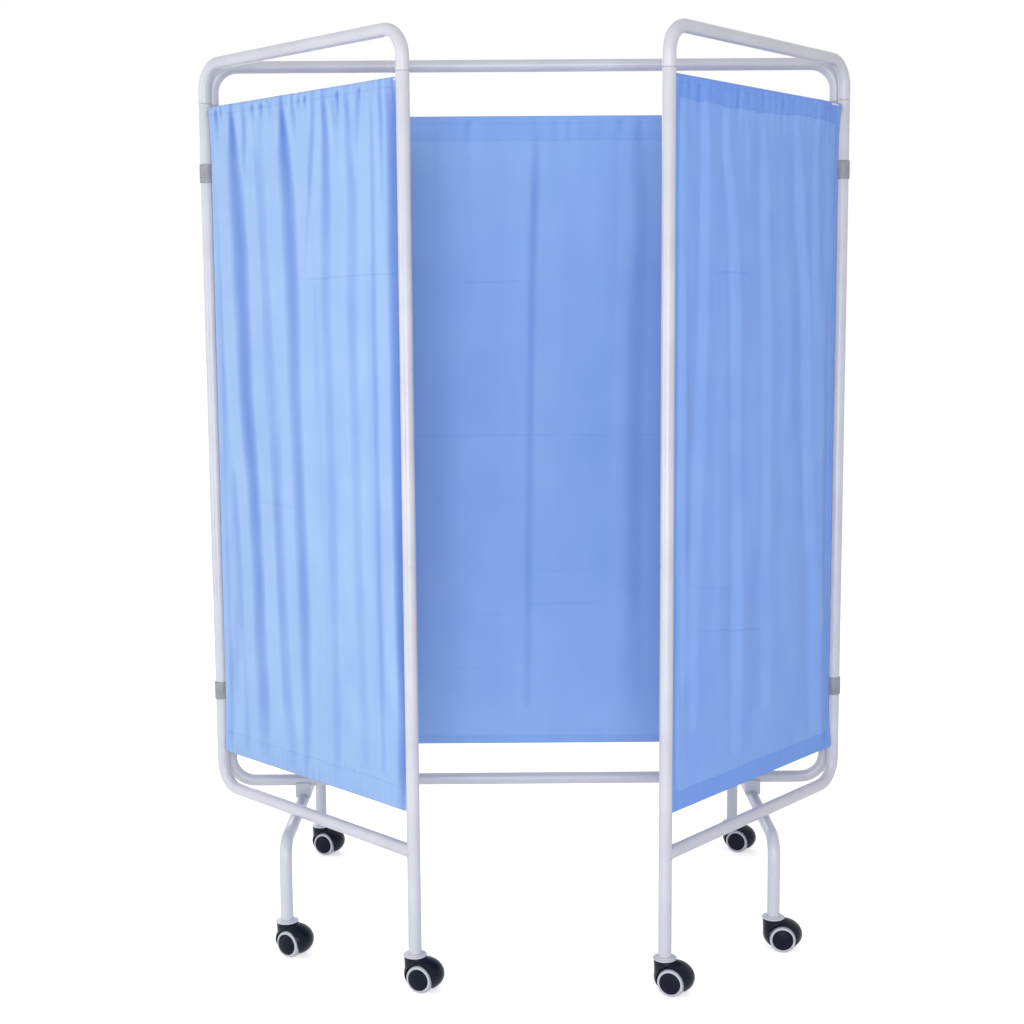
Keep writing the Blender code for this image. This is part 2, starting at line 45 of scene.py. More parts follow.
# Places shared by every piece, in metres and degrees, as the CAD has them
layout = {
    "setBack": 0.111,            # plane of the centre panel
    "halfSpan": 0.6475,          # centre post axis from the middle
    "wingSpan": 0.635,           # post axis to post axis of a wing
    "leftAngle": 46.5,           # between a wing and the centre panel
    "rightAngle": 50.0,
    "hingePitch": 0.030,         # centre post to wing post, axis to axis
    "footSpacing": 0.981,
    "footLength": 0.615,
}
signs = {"left": -1, "right": 1}
xAxis, yAxis, zAxis = Vector((1, 0, 0)), Vector((0, 1, 0)), Vector((0, 0, 1))

# Sides and steps of the round meshes
facets = {"tube": 32, "bore": 48, "smallBore": 24, "lathe": 56, "wheel": 72, "axle": 64, "bend": 14}


def toLinear(hexColour):
    parts = [int(hexColour[i:i + 2], 16) / 255 for i in (1, 3, 5)]
    return [c / 12.92 if c <= 0.04045 else ((c + 0.055) / 1.055) ** 2.4 for c in parts] + [1]


# Feeds a node's inputs, by name or in order, from nodes, sockets or plain numbers
def feed(tree, node, links):
    for name, source in links.items() if isinstance(links, dict) else enumerate(links):
        if isinstance(source, (int, float)):
            node.inputs[name].default_value = source
        else:
            socket = source.outputs[0] if isinstance(source, bpy.types.Node) else source
            tree.links.new(socket, node.inputs[name])


# Adds one shader node with its own options and fixed values, and feeds its inputs
def addNode(tree, kind, settings=None, links=()):
    node = tree.nodes.new("ShaderNode" + kind)
    for name, value in (settings or {}).items():
        if name == "stops":
            for element, (place, colour) in zip(node.color_ramp.elements, value):
                element.position = place
                element.color = colour
        elif isinstance(name, int) or name in node.inputs:
            node.inputs[name].default_value = value
        else:
            setattr(node, name, value)
    feed(tree, node, links)
    return node


def newMaterial(name, settings):
    material = bpy.data.materials.new(name)
    material.use_nodes = True
    tree = material.node_tree
    tree.nodes.clear()
    shader = addNode(tree, "BsdfPrincipled", settings)
    addNode(tree, "OutputMaterial", links={"Surface": shader})
    return material, tree, shader


def newObject(name, data):
    item = bpy.data.objects.new(name, data)
    scene.collection.objects.link(item)
    return item


def meshFrom(work, name):
    mesh = bpy.data.meshes.new(name)
    work.to_mesh(mesh)
    work.free()
    return mesh


def ringOf(centre, axisA, axisB, radius, sides):
    points = []
    for step in range(sides):
        angle = 2 * math.pi * step / sides
        points.append(centre + axisA * (radius * math.cos(angle)) + axisB * (radius * math.sin(angle)))
    return points


# Skin over a row of rings, with its ends filled or, for a hoop, joined
def meshOfRings(name, rings, hoop=False):
    work = bmesh.new()
    rows = [[work.verts.new(point) for point in ring] for ring in rings]
    pairs = list(zip(rows, rows[1:]))
    if hoop:
        pairs.append((rows[-1], rows[0]))
    for lower, upper in pairs:
        for index in range(len(lower)):
            after = (index + 1) % len(lower)
            work.faces.new((lower[index], lower[after], upper[after], upper[index]))
    if not hoop:
        work.faces.new(rows[0])
        work.faces.new(rows[-1])
    bmesh.ops.recalc_face_normals(work, faces=work.faces)
    return meshFrom(work, name)


# Turned shape about local Z or Y, from (radius, place) pairs
def latheMesh(name, profile, sides=facets["lathe"], direction=zAxis, hoop=False):
    axisB = direction.cross(xAxis)
    rings = [ringOf(direction * place, xAxis, axisB, radius, sides) for radius, place in profile]
    return meshOfRings(name, rings, hoop)


# Rounds the corners of a (radius, place) profile
def softened(profile, reach):
    points = [Vector(p) for p in profile]
    result = [tuple(points[0])]
    for before, corner, after in zip(points, points[1:], points[2:]):
        arriving = before - corner
        leaving = after - corner
        cut = min(reach, arriving.length * 0.45, leaving.length * 0.45)
        start = corner + arriving.normalized() * cut
        end = corner + leaving.normalized() * cut
        for t in (0, 1 / 3, 2 / 3, 1):
            result.append(tuple(start * (1 - t) ** 2 + corner * (2 * t * (1 - t)) + end * t ** 2))
    return result + [tuple(points[-1])]


# Solid tube skin along a path that lies in one plane, from (place, radius) stations
def tubeMesh(name, stations, normal, sides=facets["tube"]):
    rings = []
    places = [place for place, radius in stations]
    for index, (place, radius) in enumerate(stations):
        before = [place - other for other in places[:index] if (place - other).length > 1e-6]
        after = [other - place for other in places[index + 1:] if (other - place).length > 1e-6]
        arriving = before[-1].normalized() if before else after[0].normalized()
        leaving = after[0].normalized() if after else arriving
        tangent = (arriving + leaving).normalized()
        side = tangent.cross(normal) / tangent.dot(arriving)
        rings.append(ringOf(place, normal, side, radius, sides))
    return meshOfRings(name, rings)


def straightMesh(name, start, end, radius, normal, sides=facets["bore"]):
    return tubeMesh(name, [(start, radius), (end, radius)], normal, sides)


# Path through square corners, given as (place along, height), each bent to one radius
def bentPath(corners, radius, direction=xAxis):
    corners = [direction * along + zAxis * height for along, height in corners]
    path = [corners[0]]
    for before, corner, after in zip(corners, corners[1:], corners[2:]):
        arriving = (corner - before).normalized()
        leaving = (after - corner).normalized()
        middle = corner - arriving * radius + leaving * radius
        for step in range(facets["bend"] + 1):
            angle = math.pi / 2 * step / facets["bend"]
            path.append(middle + (arriving * math.sin(angle) - leaving * math.cos(angle)) * radius)
    return path + [corners[-1]]


def addPiece(name, mesh, material, body, nodes, place, sharp=38):
    mesh.shade_smooth()
    mesh.set_sharp_from_angle(angle=math.radians(sharp))
    mesh.materials.clear()
    mesh.materials.append(material)
    piece = newObject(name, mesh)
    piece.matrix_world = place
    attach(piece, body)
    if nodes:
        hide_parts(*nodes)
    return piece


# The mesh as its modifiers leave it
def bakedMesh(item):
    graph = bpy.context.evaluated_depsgraph_get()
    mesh = bpy.data.meshes.new_from_object(item.evaluated_get(graph))
    bpy.data.objects.remove(item, do_unlink=True)
    return mesh


def cutMesh(mesh, steps):
    item = newObject("cutBody", mesh)
    tools = []
    for operation, toolMesh in steps:
        tools.append(newObject("cutTool", toolMesh))
        change = item.modifiers.new(operation, "BOOLEAN")
        change.operation = operation
        change.object = tools[-1]
    result = bakedMesh(item)
    for tool in tools:
        bpy.data.objects.remove(tool, do_unlink=True)
    return result


# A side's centre post, and the heading from it to the wing's own post
def hingeOf(side):
    post = Vector((signs[side] * layout["halfSpan"], layout["setBack"], 0))
    clipTurn = math.pi / 2 - math.radians(layout[side + "Angle"]) / 2
    return post, -clipTurn if side == "right" else clipTurn - math.pi


# Place of a panel: local X from its hinge post along it, local Y across it, Z up
def panelPlace(side):
    if side == "centre":
        return Matrix.Translation((0, layout["setBack"], 0))
    post, heading = hingeOf(side)
    angle = math.radians(layout[side + "Angle"])
    turn = math.pi + angle if side == "right" else -angle
    hinge = post + Vector((math.cos(heading), math.sin(heading), 0)) * layout["hingePitch"]
    return Matrix.Translation(hinge) @ Matrix.Rotation(turn, 4, "Z")


def clipPlace(side, height):
    post, heading = hingeOf(side)
    return Matrix.Translation(post + zAxis * height) @ Matrix.Rotation(heading, 4, "Z")


# Colours of the finishes are in sRGB, and the sizes of their patterns in millimetres
coat = {"pale": "#c8c9d2", "deep": "#c0c1cc", "dust": "#e2e2e2", "peel": 3.0, "cloud": 110, "speck": 21}


# Epoxy powder coat, sprayed on degreased steel tube and baked: an even pale skin, half gloss, with a
# fine orange peel. The peel is about 1.5 mm across; it is drawn at 3 mm so that it shows.
def powderCoat():
    material, tree, shader = newMaterial("powderCoatedSteel", {"IOR": 1.5})
    where = addNode(tree, "TexCoord").outputs["Object"]
    peel = addNode(
        tree, "TexNoise", {"Scale": 1000 / coat["peel"], "Detail": 2.0, "Roughness": 0.45}, [where])
    cloud = addNode(tree, "TexNoise", {"Scale": 1000 / coat["cloud"], "Detail": 3.0}, [where])
    speck = addNode(tree, "TexVoronoi", {"Scale": 1000 / coat["speck"], "feature": "F1"}, [where])
    tint = addNode(tree, "ValToRGB", {"stops": [
        (0.35, toLinear(coat["deep"])), (0.65, toLinear(coat["pale"]))]}, [cloud])
    dust = addNode(tree, "ValToRGB", {"stops": [
        (0.018, toLinear(coat["dust"])), (0.034, toLinear("#ffffff"))]}, [speck])
    mixed = addNode(tree, "Mix", {"data_type": "RGBA", "blend_type": "MULTIPLY", 0: 1.0}, {6: tint, 7: dust})
    gloss = addNode(
        tree, "MapRange", {"From Min": 0.3, "From Max": 0.7, "To Min": 0.27, "To Max": 0.37}, [cloud])
    bump = addNode(tree, "Bump", {"Strength": 0.10, "Distance": 0.0006}, {"Height": peel})
    feed(tree, shader, {"Base Color": mixed.outputs[2], "Roughness": gloss, "Normal": bump})
    return material


zinc = {"colour": "#c8c9cc", "lines": 20, "drawnOut": 40}


# Mild steel rod, cold drawn and zinc plated: bright grey with fine lengthwise drawing lines
def zincedRod():
    material, tree, shader = newMaterial("zincPlatedSteel", {
        "Base Color": toLinear(zinc["colour"]), "Metallic": 1.0, "Roughness": 0.36})
    where = addNode(tree, "TexCoord").outputs["Object"]
    drawn = addNode(tree, "Mapping", {"Scale": (1.0, zinc["drawnOut"], zinc["drawnOut"])}, [where])
    lines = addNode(tree, "TexNoise", {"Scale": 1000 / zinc["lines"], "Detail": 4.0}, [drawn])
    bump = addNode(tree, "Bump", {"Strength": 0.12, "Distance": 0.0002}, {"Height": lines})
    feed(tree, shader, {"Normal": bump})
    return material


moulded = {
    # Polyamide from a spark-eroded mould: dull mid grey, a little clouded
    "mouldedPolyamide": {
        "pale": "#94949d", "deep": "#84848e", "cloud": 20, "grain": 1.2, "detail": 3.0, "relief": 0.25,
        "shader": {"Roughness": 0.48, "IOR": 1.53}},
    # Polypropylene from a lightly polished mould: pale grey, soft highlights
    "mouldedPolypropylene": {
        "pale": "#c3c5ce", "grain": 2.0, "detail": 2.0, "relief": 0.08,
        "shader": {"Roughness": 0.38, "IOR": 1.49}},
    # ABS of the hub discs: charcoal, half gloss
    "mouldedAbsDisc": {
        "pale": "#0c1120", "grain": 1.2, "detail": 2.0, "relief": 0.10,
        "shader": {"Roughness": 0.40, "IOR": 1.53, "Specular IOR Level": 0.12}},
}


# Injection moulded plastic that shows the fine grain of its mould
def mouldedPlastic(name):
    facts = moulded[name]
    material, tree, shader = newMaterial(name, facts["shader"] | {"Base Color": toLinear(facts["pale"])})
    where = addNode(tree, "TexCoord").outputs["Object"]
    grain = addNode(
        tree, "TexNoise", {"Scale": 1000 / facts["grain"], "Detail": facts["detail"]}, [where])
    bump = addNode(tree, "Bump", {"Strength": facts["relief"], "Distance": 0.0003}, {"Height": grain})
    feed(tree, shader, {"Normal": bump})
    if "cloud" in facts:
        cloud = addNode(tree, "TexNoise", {"Scale": 1000 / facts["cloud"], "Detail": 2.0}, [where])
        tint = addNode(tree, "ValToRGB", {"stops": [
            (0.3, toLinear(facts["deep"])), (0.7, toLinear(facts["pale"]))]}, [cloud])
        feed(tree, shader, {"Base Color": tint})
    return material


hoodAbs = {"pale": "#0d1324", "deep": "#0a0e1a", "cloud": 30, "swirl": 4.0, "partingLine": 0.6}


# ABS, injection moulded in a polished tool: glossy charcoal, faintly swirled where cloths have wiped it,
# with the mould's parting line down its middle. The line is 0.2 mm wide; it is drawn at 0.6 mm.
def hoodPlastic():
    material, tree, shader = newMaterial("mouldedAbsCharcoal", {"IOR": 1.53, "Specular IOR Level": 0.16})
    where = addNode(tree, "TexCoord").outputs["Object"]
    cloud = addNode(tree, "TexNoise", {"Scale": 1000 / hoodAbs["cloud"], "Detail": 3.0}, [where])
    swirl = addNode(tree, "TexNoise", {
        "Scale": 1000 / hoodAbs["swirl"], "Detail": 4.0, "Distortion": 1.4}, [where])
    tint = addNode(tree, "ValToRGB", {"stops": [
        (0.3, toLinear(hoodAbs["deep"])), (0.7, toLinear(hoodAbs["pale"]))]}, [cloud])
    gloss = addNode(
        tree, "MapRange", {"From Min": 0.35, "From Max": 0.65, "To Min": 0.24, "To Max": 0.36}, [swirl])
    apart = addNode(tree, "SeparateXYZ", {}, [where])
    aside = addNode(tree, "Math", {"operation": "ABSOLUTE"}, [apart.outputs["Y"]])
    groove = addNode(tree, "MapRange", {
        "From Max": hoodAbs["partingLine"] / 1000, "interpolation_type": "SMOOTHSTEP"}, [aside])
    bump = addNode(tree, "Bump", {"Strength": 0.35, "Distance": 0.0004}, {"Height": groove})
    feed(tree, shader, {"Base Color": tint, "Roughness": gloss, "Normal": bump})
    return material


tread = {"inboard": "#bbbec8", "atRim": "#a5a8b3", "grain": 1.5, "start": 25.5, "end": 27.0}


# Thermoplastic polyurethane moulded over the wheel's core: light grey, matt, unevenly greyer over its outer
# rim, where it meets the floor
def treadPlastic():
    material, tree, shader = newMaterial("mouldedPolyurethane", {"Roughness": 0.42, "IOR": 1.5})
    where = addNode(tree, "TexCoord").outputs["Object"]
    grain = addNode(tree, "TexNoise", {"Scale": 1000 / tread["grain"], "Detail": 3.0}, [where])
    apart = addNode(tree, "SeparateXYZ", {}, [where])
    x, z = apart.outputs["X"], apart.outputs["Z"]
    squareX = addNode(tree, "Math", {"operation": "MULTIPLY"}, [x, x])
    square = addNode(tree, "Math", {"operation": "MULTIPLY_ADD"}, [z, z, squareX])
    radius = addNode(tree, "Math", {"operation": "SQRT"}, [square])
    atRim = addNode(
        tree, "MapRange", {"From Min": tread["start"] / 1000, "From Max": tread["end"] / 1000}, [radius])
    rimMottle = addNode(tree, "Math", {"operation": "MULTIPLY"}, [atRim, grain])
    tint = addNode(tree, "ValToRGB", {"stops": [
        (0.15, toLinear(tread["inboard"])), (0.75, toLinear(tread["atRim"]))]}, [rimMottle])
    bump = addNode(tree, "Bump", {"Strength": 0.12, "Distance": 0.0003}, {"Height": grain})
    feed(tree, shader, {"Base Color": tint, "Normal": bump})
    return material


paint = powderCoat()
rodZinc = zincedRod()
clipGrey = mouldedPlastic("mouldedPolyamide")
collarGrey = mouldedPlastic("mouldedPolypropylene")
discCharcoal = mouldedPlastic("mouldedAbsDisc")
hoodCharcoal = hoodPlastic()
treadGrey = treadPlastic()
print("hard materials made")


tubes = {
    "radius": 0.0125,
    "bend": 0.052,
    "top": 1.7875,               # axis of the top rails
    "rail": 0.2675,              # axis of the bottom rails
    "seam": 1.710,               # upper tubes sit on the posts here
    "seamGap": 0.0005,
    "chamfer": 0.0010,
    "chamferRoundShare": 0.3,
    "upperChamferShare": 0.6,    # of the upper tube's edge, against the post's
    "plug": 0.0100,              # radius of a post's reduced end
    "plugShown": 0.012,
    "foot": 0.0695,              # tube ends above the castors
    "archHeight": 0.2275,
    "archBend": 0.040,
    "railStop": 0.003,           # bottom rail ends inside the front post
}


def seamEnd(x):
    seam = Vector((x, 0, tubes["seam"]))
    radius, chamfer = tubes["radius"], tubes["chamfer"]
    edge = chamfer * tubes["chamferRoundShare"]
    return [(seam - zAxis * chamfer, radius), (seam - zAxis * edge, radius - edge), (seam, radius - chamfer),
            (seam, tubes["plug"]), (seam + zAxis * tubes["plugShown"], tubes["plug"])]


def upperTube(name, firstX, lastX):
    foot, top, radius = tubes["seam"] + tubes["seamGap"], tubes["top"], tubes["radius"]
    path = bentPath([(firstX, foot), (firstX, top), (lastX, top), (lastX, foot)], tubes["bend"])
    edge = tubes["chamfer"] * tubes["upperChamferShare"]
    stations = [(path[0], radius - edge), (path[0] + zAxis * edge, radius)]
    stations += [(place, radius) for place in path[1:-1]]
    stations += [(path[-1] + zAxis * edge, radius), (path[-1], radius - edge)]
    return tubeMesh(name, stations, yAxis)


def centreLowerTube(name):
    half, seam, rail = layout["halfSpan"], tubes["seam"], tubes["rail"]
    path = bentPath([(-half, seam), (-half, rail), (half, rail), (half, seam)], tubes["bend"])
    bent = [(place, tubes["radius"]) for place in path[1:-1]]
    return tubeMesh(name, seamEnd(-half)[::-1] + bent + seamEnd(half), yAxis)


def wingHingeTube(name):
    railEnd = layout["wingSpan"] - tubes["railStop"]
    path = bentPath([(0, tubes["seam"]), (0, tubes["rail"]), (railEnd, tubes["rail"])], tubes["bend"])
    return tubeMesh(name, seamEnd(0)[::-1] + [(place, tubes["radius"]) for place in path[1:]], yAxis)


def wingFrontPost(name):
    foot = Vector((layout["wingSpan"], 0, tubes["foot"]))
    return tubeMesh(name, [(foot, tubes["radius"])] + seamEnd(layout["wingSpan"]), yAxis)


weld = {"bead": 0.0017, "steps": 72, "sides": 8, "rippleShare": 0.16, "rippleSteps": 4}


# Weld bead where a wing's bottom rail meets its front post
def railWeld(name):
    radius = tubes["radius"]
    path = []
    for step in range(weld["steps"]):
        angle = 2 * math.pi * step / weld["steps"]
        y = radius * math.cos(angle)
        inset = math.sqrt(max(radius ** 2 - y ** 2, 0))
        path.append(Vector((layout["wingSpan"] - inset, y, tubes["rail"] + radius * math.sin(angle))))
    rings = []
    for step, place in enumerate(path):
        tangent = (path[(step + 1) % weld["steps"]] - path[step - 1]).normalized()
        outward = Vector((0, place.y, place.z - tubes["rail"])).normalized()
        axisB = tangent.cross(outward).normalized()
        ripple = 1 + weld["rippleShare"] * math.sin(2 * math.pi * step / weld["rippleSteps"])
        rings.append(ringOf(place, outward, axisB, weld["bead"] * ripple, weld["sides"]))
    return meshOfRings(name, rings, hoop=True)


def footArch(name):
    reach, foot, arch = layout["footLength"] / 2, tubes["foot"], tubes["archHeight"]
    path = bentPath([(-reach, foot), (-reach, arch), (reach, arch), (reach, foot)], tubes["archBend"], yAxis)
    return tubeMesh(name, [(place, tubes["radius"]) for place in path], xAxis)


saddle = {"side": 0.033, "low": 0.2315, "high": 0.2635, "round": 0.002, "play": 0.0002, "cutReach": 0.03}


# Block between the bottom rail and a foot, its grooves open to the two tubes, its edges rounded
def saddleMesh(name):
    work = bmesh.new()
    bmesh.ops.create_cube(work, size=1)
    size = Vector((saddle["side"], saddle["side"], saddle["high"] - saddle["low"]))
    middle = zAxis * ((saddle["high"] + saddle["low"]) / 2)
    for vertex in work.verts:
        vertex.co = Vector(a * b for a, b in zip(vertex.co, size)) + middle
    bmesh.ops.bevel(work, geom=work.edges[:], offset=saddle["round"], segments=3, profile=0.5, affect="EDGES")
    grooves = []
    for course, height, normal in ((xAxis, tubes["rail"], yAxis), (yAxis, tubes["archHeight"], xAxis)):
        reach, middle = course * saddle["cutReach"], zAxis * height
        grooves.append(("DIFFERENCE", straightMesh(
            "groove", middle - reach, middle + reach, tubes["radius"] + saddle["play"], normal)))
    return cutMesh(meshFrom(work, name), grooves)


def addTube(name, shape, body, nodes, place, *ends):
    addPiece(name, shape(name, *ends), paint, body, nodes, place)


centrePlace = panelPlace("centre")
addTube("centreTopTube", upperTube, "centre", ["centre_upper_tube"], centrePlace,
        -layout["halfSpan"], layout["halfSpan"])
addTube("centrePostsAndRail", centreLowerTube, "centre", ["centre_lower_tube"], centrePlace)
for side, sign in signs.items():
    wing = side + "_wing"
    place = panelPlace(side)
    addTube(side + "WingTopTube", upperTube, wing, [wing + "_upper_tube"], place, 0, layout["wingSpan"])
    addTube(side + "WingHingeTube", wingHingeTube, wing, [wing + "_hinge_tube"], place)
    addTube(side + "WingFrontPost", wingFrontPost, wing, [wing + "_front_post"], place)
    addTube(side + "WingRailWeld", railWeld, wing, [], place)
    foot = Matrix.Translation((sign * layout["footSpacing"] / 2, layout["setBack"], 0))
    addTube(side + "FootArch", footArch, "centre", [side + "_foot_arch"], foot)
    addPiece(side + "FootSaddle", saddleMesh(side + "FootSaddle"), collarGrey, "centre",
             [side + "_foot_saddle"], foot)
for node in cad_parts.values():
    if node.name.endswith("_rod"):
        node.data.materials.clear()
        node.data.materials.append(rodZinc)
print("tubes, welds, feet and rods made")


clips = {
    "heights": {"upper": 1.569, "lower": 0.477},
    "tall": 0.038,
    "bore": 0.0128,
    "outer": 0.0144,
    "web": 0.0080,               # half its width
    "webFlat": 0.0022,           # half the length of its straight stretch
    "wrap": 132,                 # degrees that each ring reaches to either side of its far end
    "wrapSteps": 20,
    "edge": 0.0012,
    "edgeRoundShare": 0.3,
}


# Clip round two posts: two rings and the web between them
def clipMesh(name):
    pitch = layout["hingePitch"]
    steps = clips["wrapSteps"]

    def outline(shrink):
        radius = clips["outer"] - shrink
        web = clips["web"] - shrink
        points = []
        for centre, start, turn, webSide in ((0, math.pi, -1, 1), (pitch, 0, -1, -1)):
            for step in range(-steps, steps + 1):
                angle = start + turn * math.radians(clips["wrap"]) * step / steps
                points.append((centre + radius * math.cos(angle), radius * math.sin(angle)))
            points += [(pitch / 2 - webSide * clips["webFlat"], webSide * web),
                       (pitch / 2 + webSide * clips["webFlat"], webSide * web)]
        return points

    half, edge = clips["tall"] / 2, clips["edge"]
    inner = edge * clips["edgeRoundShare"]
    levels = [(-half, edge), (-half + inner, inner), (-half + edge, 0),
              (half - edge, 0), (half - inner, inner), (half, edge)]
    body = meshOfRings(name, [[Vector((x, y, z)) for x, y in outline(shrink)] for z, shrink in levels])
    bores = []
    for x in (0, pitch):
        middle, reach = xAxis * x, zAxis * clips["tall"]
        bore = straightMesh("clipBore", middle - reach, middle + reach, clips["bore"], yAxis)
        bores.append(("DIFFERENCE", bore))
    return cutMesh(body, bores)


clipShape = clipMesh("hingeClip")
for side in signs:
    for level, height in clips["heights"].items():
        addPiece(side + level.capitalize() + "Clip", clipShape.copy(), clipGrey, side + "_clips",
                 [side + "_" + level + "_clip"], clipPlace(side, height))
print("hinge clips made")


castor = {
    "trail": 0.019,              # swivel axis to wheel axle
    "height": 0.0692,            # top of the collar
    "hood": (0.079, 0.074, 0.062),
    "hoodMiddle": 0.0325,
    "hoodClear": 0.008,          # hood above the floor
    "hoodRows": 33,
    "room": 0.0016,              # round a wheel, in its pocket
    "web": 0.009,                # wall between the wheels
    "neckDrop": 0.0054,          # collar's top to the top of the neck
    "neck": (0.0203, 0.0206, 0.0214),    # its radii, from the ball up
    "neckKnee": 0.050,           # height of the middle one
    "blend": 14,                 # passes that round the neck into the ball
    "voxel": 0.0012,
    "plate": 0.0225,
    "plateThick": 0.003,
    "lip": 0.0165,
    "lipTall": 0.002,
    "lipBore": 0.0102,
    "pin": 0.0044,
    "pinLength": 0.010,
    "pinBore": 0.0049,
    "pinBoreFoot": 0.0525,
    "round": 0.0011,
    "axis": 0.0001,              # radius at which a turned end closes
    "cut": 0.09,                 # reach of the cutters
    "headings": {"left_wing": -25, "left_front": -33, "left_rear": -25,
                 "right_wing": -25, "right_front": -8, "right_rear": -25},
}
wheel = {
    "radius": 0.027,
    "tread": 0.0215,             # width
    "inner": 0.0049,             # from the middle of the castor
    "bore": 0.0039,
    "edge": 0.0006,
    "shoulder": 0.0085,
    "shoulderShapes": (0.55, 1.25),    # powers of its curve, outwards and along the axle
    "groove": 0.0009,            # depth of the ring groove in the outer face
    "grooveSteps": (4.5, 4.8, 6.0, 6.4),
    "lip": (0.0010, 0.0003, 0.0002, 0.0008),    # round the disc: two widths, two drops
    "disc": 0.0203,
    "discPlay": 0.0004,
    "discSeat": 0.003,
    "discRim": 0.0040,
    "discRimRound": (0.0007, 0.0002),
    "discDome": 0.0035,
    "discSteps": 9,
    "axle": 0.0035,
}


# Collar plate with its raised lip, and the swivel pin below it
def collarMesh(name):
    top = castor["height"]
    plateTop = top - castor["lipTall"]
    bottom = plateTop - castor["plateThick"]
    pinEnd = bottom - castor["pinLength"]
    axis, pin, plate, lip = (castor[name] for name in ("axis", "pin", "plate", "lip"))
    return latheMesh(name, softened([
        (axis, pinEnd), (pin, pinEnd), (pin, bottom), (plate, bottom), (plate, plateTop), (lip, plateTop),
        (lip, top), (castor["lipBore"], top), (axis, top)], castor["round"]))


def slabMesh(name, low, high):
    reach = castor["cut"]
    corners = ((-reach, -reach), (reach, -reach), (reach, reach), (-reach, reach))
    return meshOfRings(name, [[Vector((x, y, z)) for x, y in corners] for z in (low, high)])


# Ball hood with its neck, pockets for the wheels and bores for pin and axle
def hoodMesh(name):
    long, wide, tall = (size / 2 for size in castor["hood"])
    middle = Vector((castor["trail"], 0, castor["hoodMiddle"]))
    rings = []
    for step in range(castor["hoodRows"]):
        angle = math.pi * ((step + 0.5) / castor["hoodRows"] - 0.5)
        share = math.cos(angle)
        rings.append(ringOf(middle + zAxis * (tall * math.sin(angle)), xAxis * (long * share),
                            yAxis * (wide * share), 1, facets["lathe"]))
    neckTop = castor["height"] - castor["neckDrop"]
    neckHeights = (castor["hoodMiddle"], castor["neckKnee"], neckTop)
    neck = latheMesh("neck", list(zip(castor["neck"], neckHeights)))
    item = newObject("hoodBlend", cutMesh(meshOfRings(name, rings), [("UNION", neck)]))
    remesh = item.modifiers.new("remesh", "REMESH")
    remesh.mode = "VOXEL"
    remesh.voxel_size = castor["voxel"]
    smooth = item.modifiers.new("smooth", "SMOOTH")
    smooth.factor = 0.5
    smooth.iterations = castor["blend"]
    hub = Vector((castor["trail"], 0, wheel["radius"]))
    aside = yAxis * castor["cut"]
    cutters = [slabMesh("belowFloor", -castor["cut"], castor["hoodClear"]),
               slabMesh("aboveNeck", neckTop, neckTop + castor["cut"])]
    for sign in signs.values():
        start = hub + yAxis * (sign * castor["web"] / 2)
        cutters.append(straightMesh(
            "pocket", start, start + aside * sign, wheel["radius"] + castor["room"], xAxis, facets["wheel"]))
    sides = facets["smallBore"]
    cutters.append(straightMesh("axleBore", hub - aside, hub + aside, wheel["bore"], xAxis, sides))
    pinFoot = zAxis * castor["pinBoreFoot"]
    pinTop = pinFoot + zAxis * castor["cut"]
    cutters.append(straightMesh("pinBore", pinFoot, pinTop, castor["pinBore"], xAxis, sides))
    return cutMesh(bakedMesh(item), [("DIFFERENCE", cutter) for cutter in cutters])


def wheelMesh(name):
    inner, radius, edge = wheel["inner"], wheel["radius"], wheel["edge"]
    outer = inner + wheel["tread"]
    recess = wheel["disc"] + wheel["discPlay"]
    faceLip, faceEdge, lipDrop, wallTop = wheel["lip"]
    grooveStart, grooveIn, grooveOut, grooveEnd = wheel["grooveSteps"]
    profile = [(wheel["bore"], inner), (radius - edge, inner), (radius, inner + edge)]
    for step in (0, 1, 2, 3, 4, grooveStart, grooveIn, grooveOut, grooveEnd, 7, 8):
        angle = math.pi / 2 * step / 8
        sunk = wheel["groove"] if step in (grooveIn, grooveOut) else 0
        across, along = wheel["shoulderShapes"]
        profile.append((recess + faceLip + (radius - recess - faceLip) * math.cos(angle) ** across,
                        outer - wheel["shoulder"] + wheel["shoulder"] * math.sin(angle) ** along - sunk))
    profile += [(recess + faceEdge, outer - lipDrop), (recess, outer - wallTop),
                (recess, outer - wheel["discSeat"]), (wheel["bore"], outer - wheel["discSeat"])]
    return latheMesh(name, profile, facets["wheel"], yAxis, hoop=True)


# Axle with a domed disc at each end
def axleMesh(name):
    seat = wheel["inner"] + wheel["tread"] - wheel["discSeat"] + wheel["discPlay"]
    rim = seat + wheel["discRim"]
    radius, edge = wheel["disc"], wheel["edge"]
    rise, inset = edge / 2, edge * 2
    lowDrop, highDrop = wheel["discRimRound"]
    end = [(wheel["axle"], seat), (radius - edge, seat), (radius, seat + edge), (radius, rim - lowDrop),
           (radius - rise, rim - highDrop), (radius - inset, rim + rise)]
    for step in range(1, wheel["discSteps"] + 1):
        share = 1 - step / (wheel["discSteps"] + 0.3)
        end.append(((radius - inset) * share, rim + rise + (wheel["discDome"] - rise) * (1 - share ** 2)))
    return latheMesh(name, [(r, -place) for r, place in end[::-1]] + end, facets["axle"], yAxis)


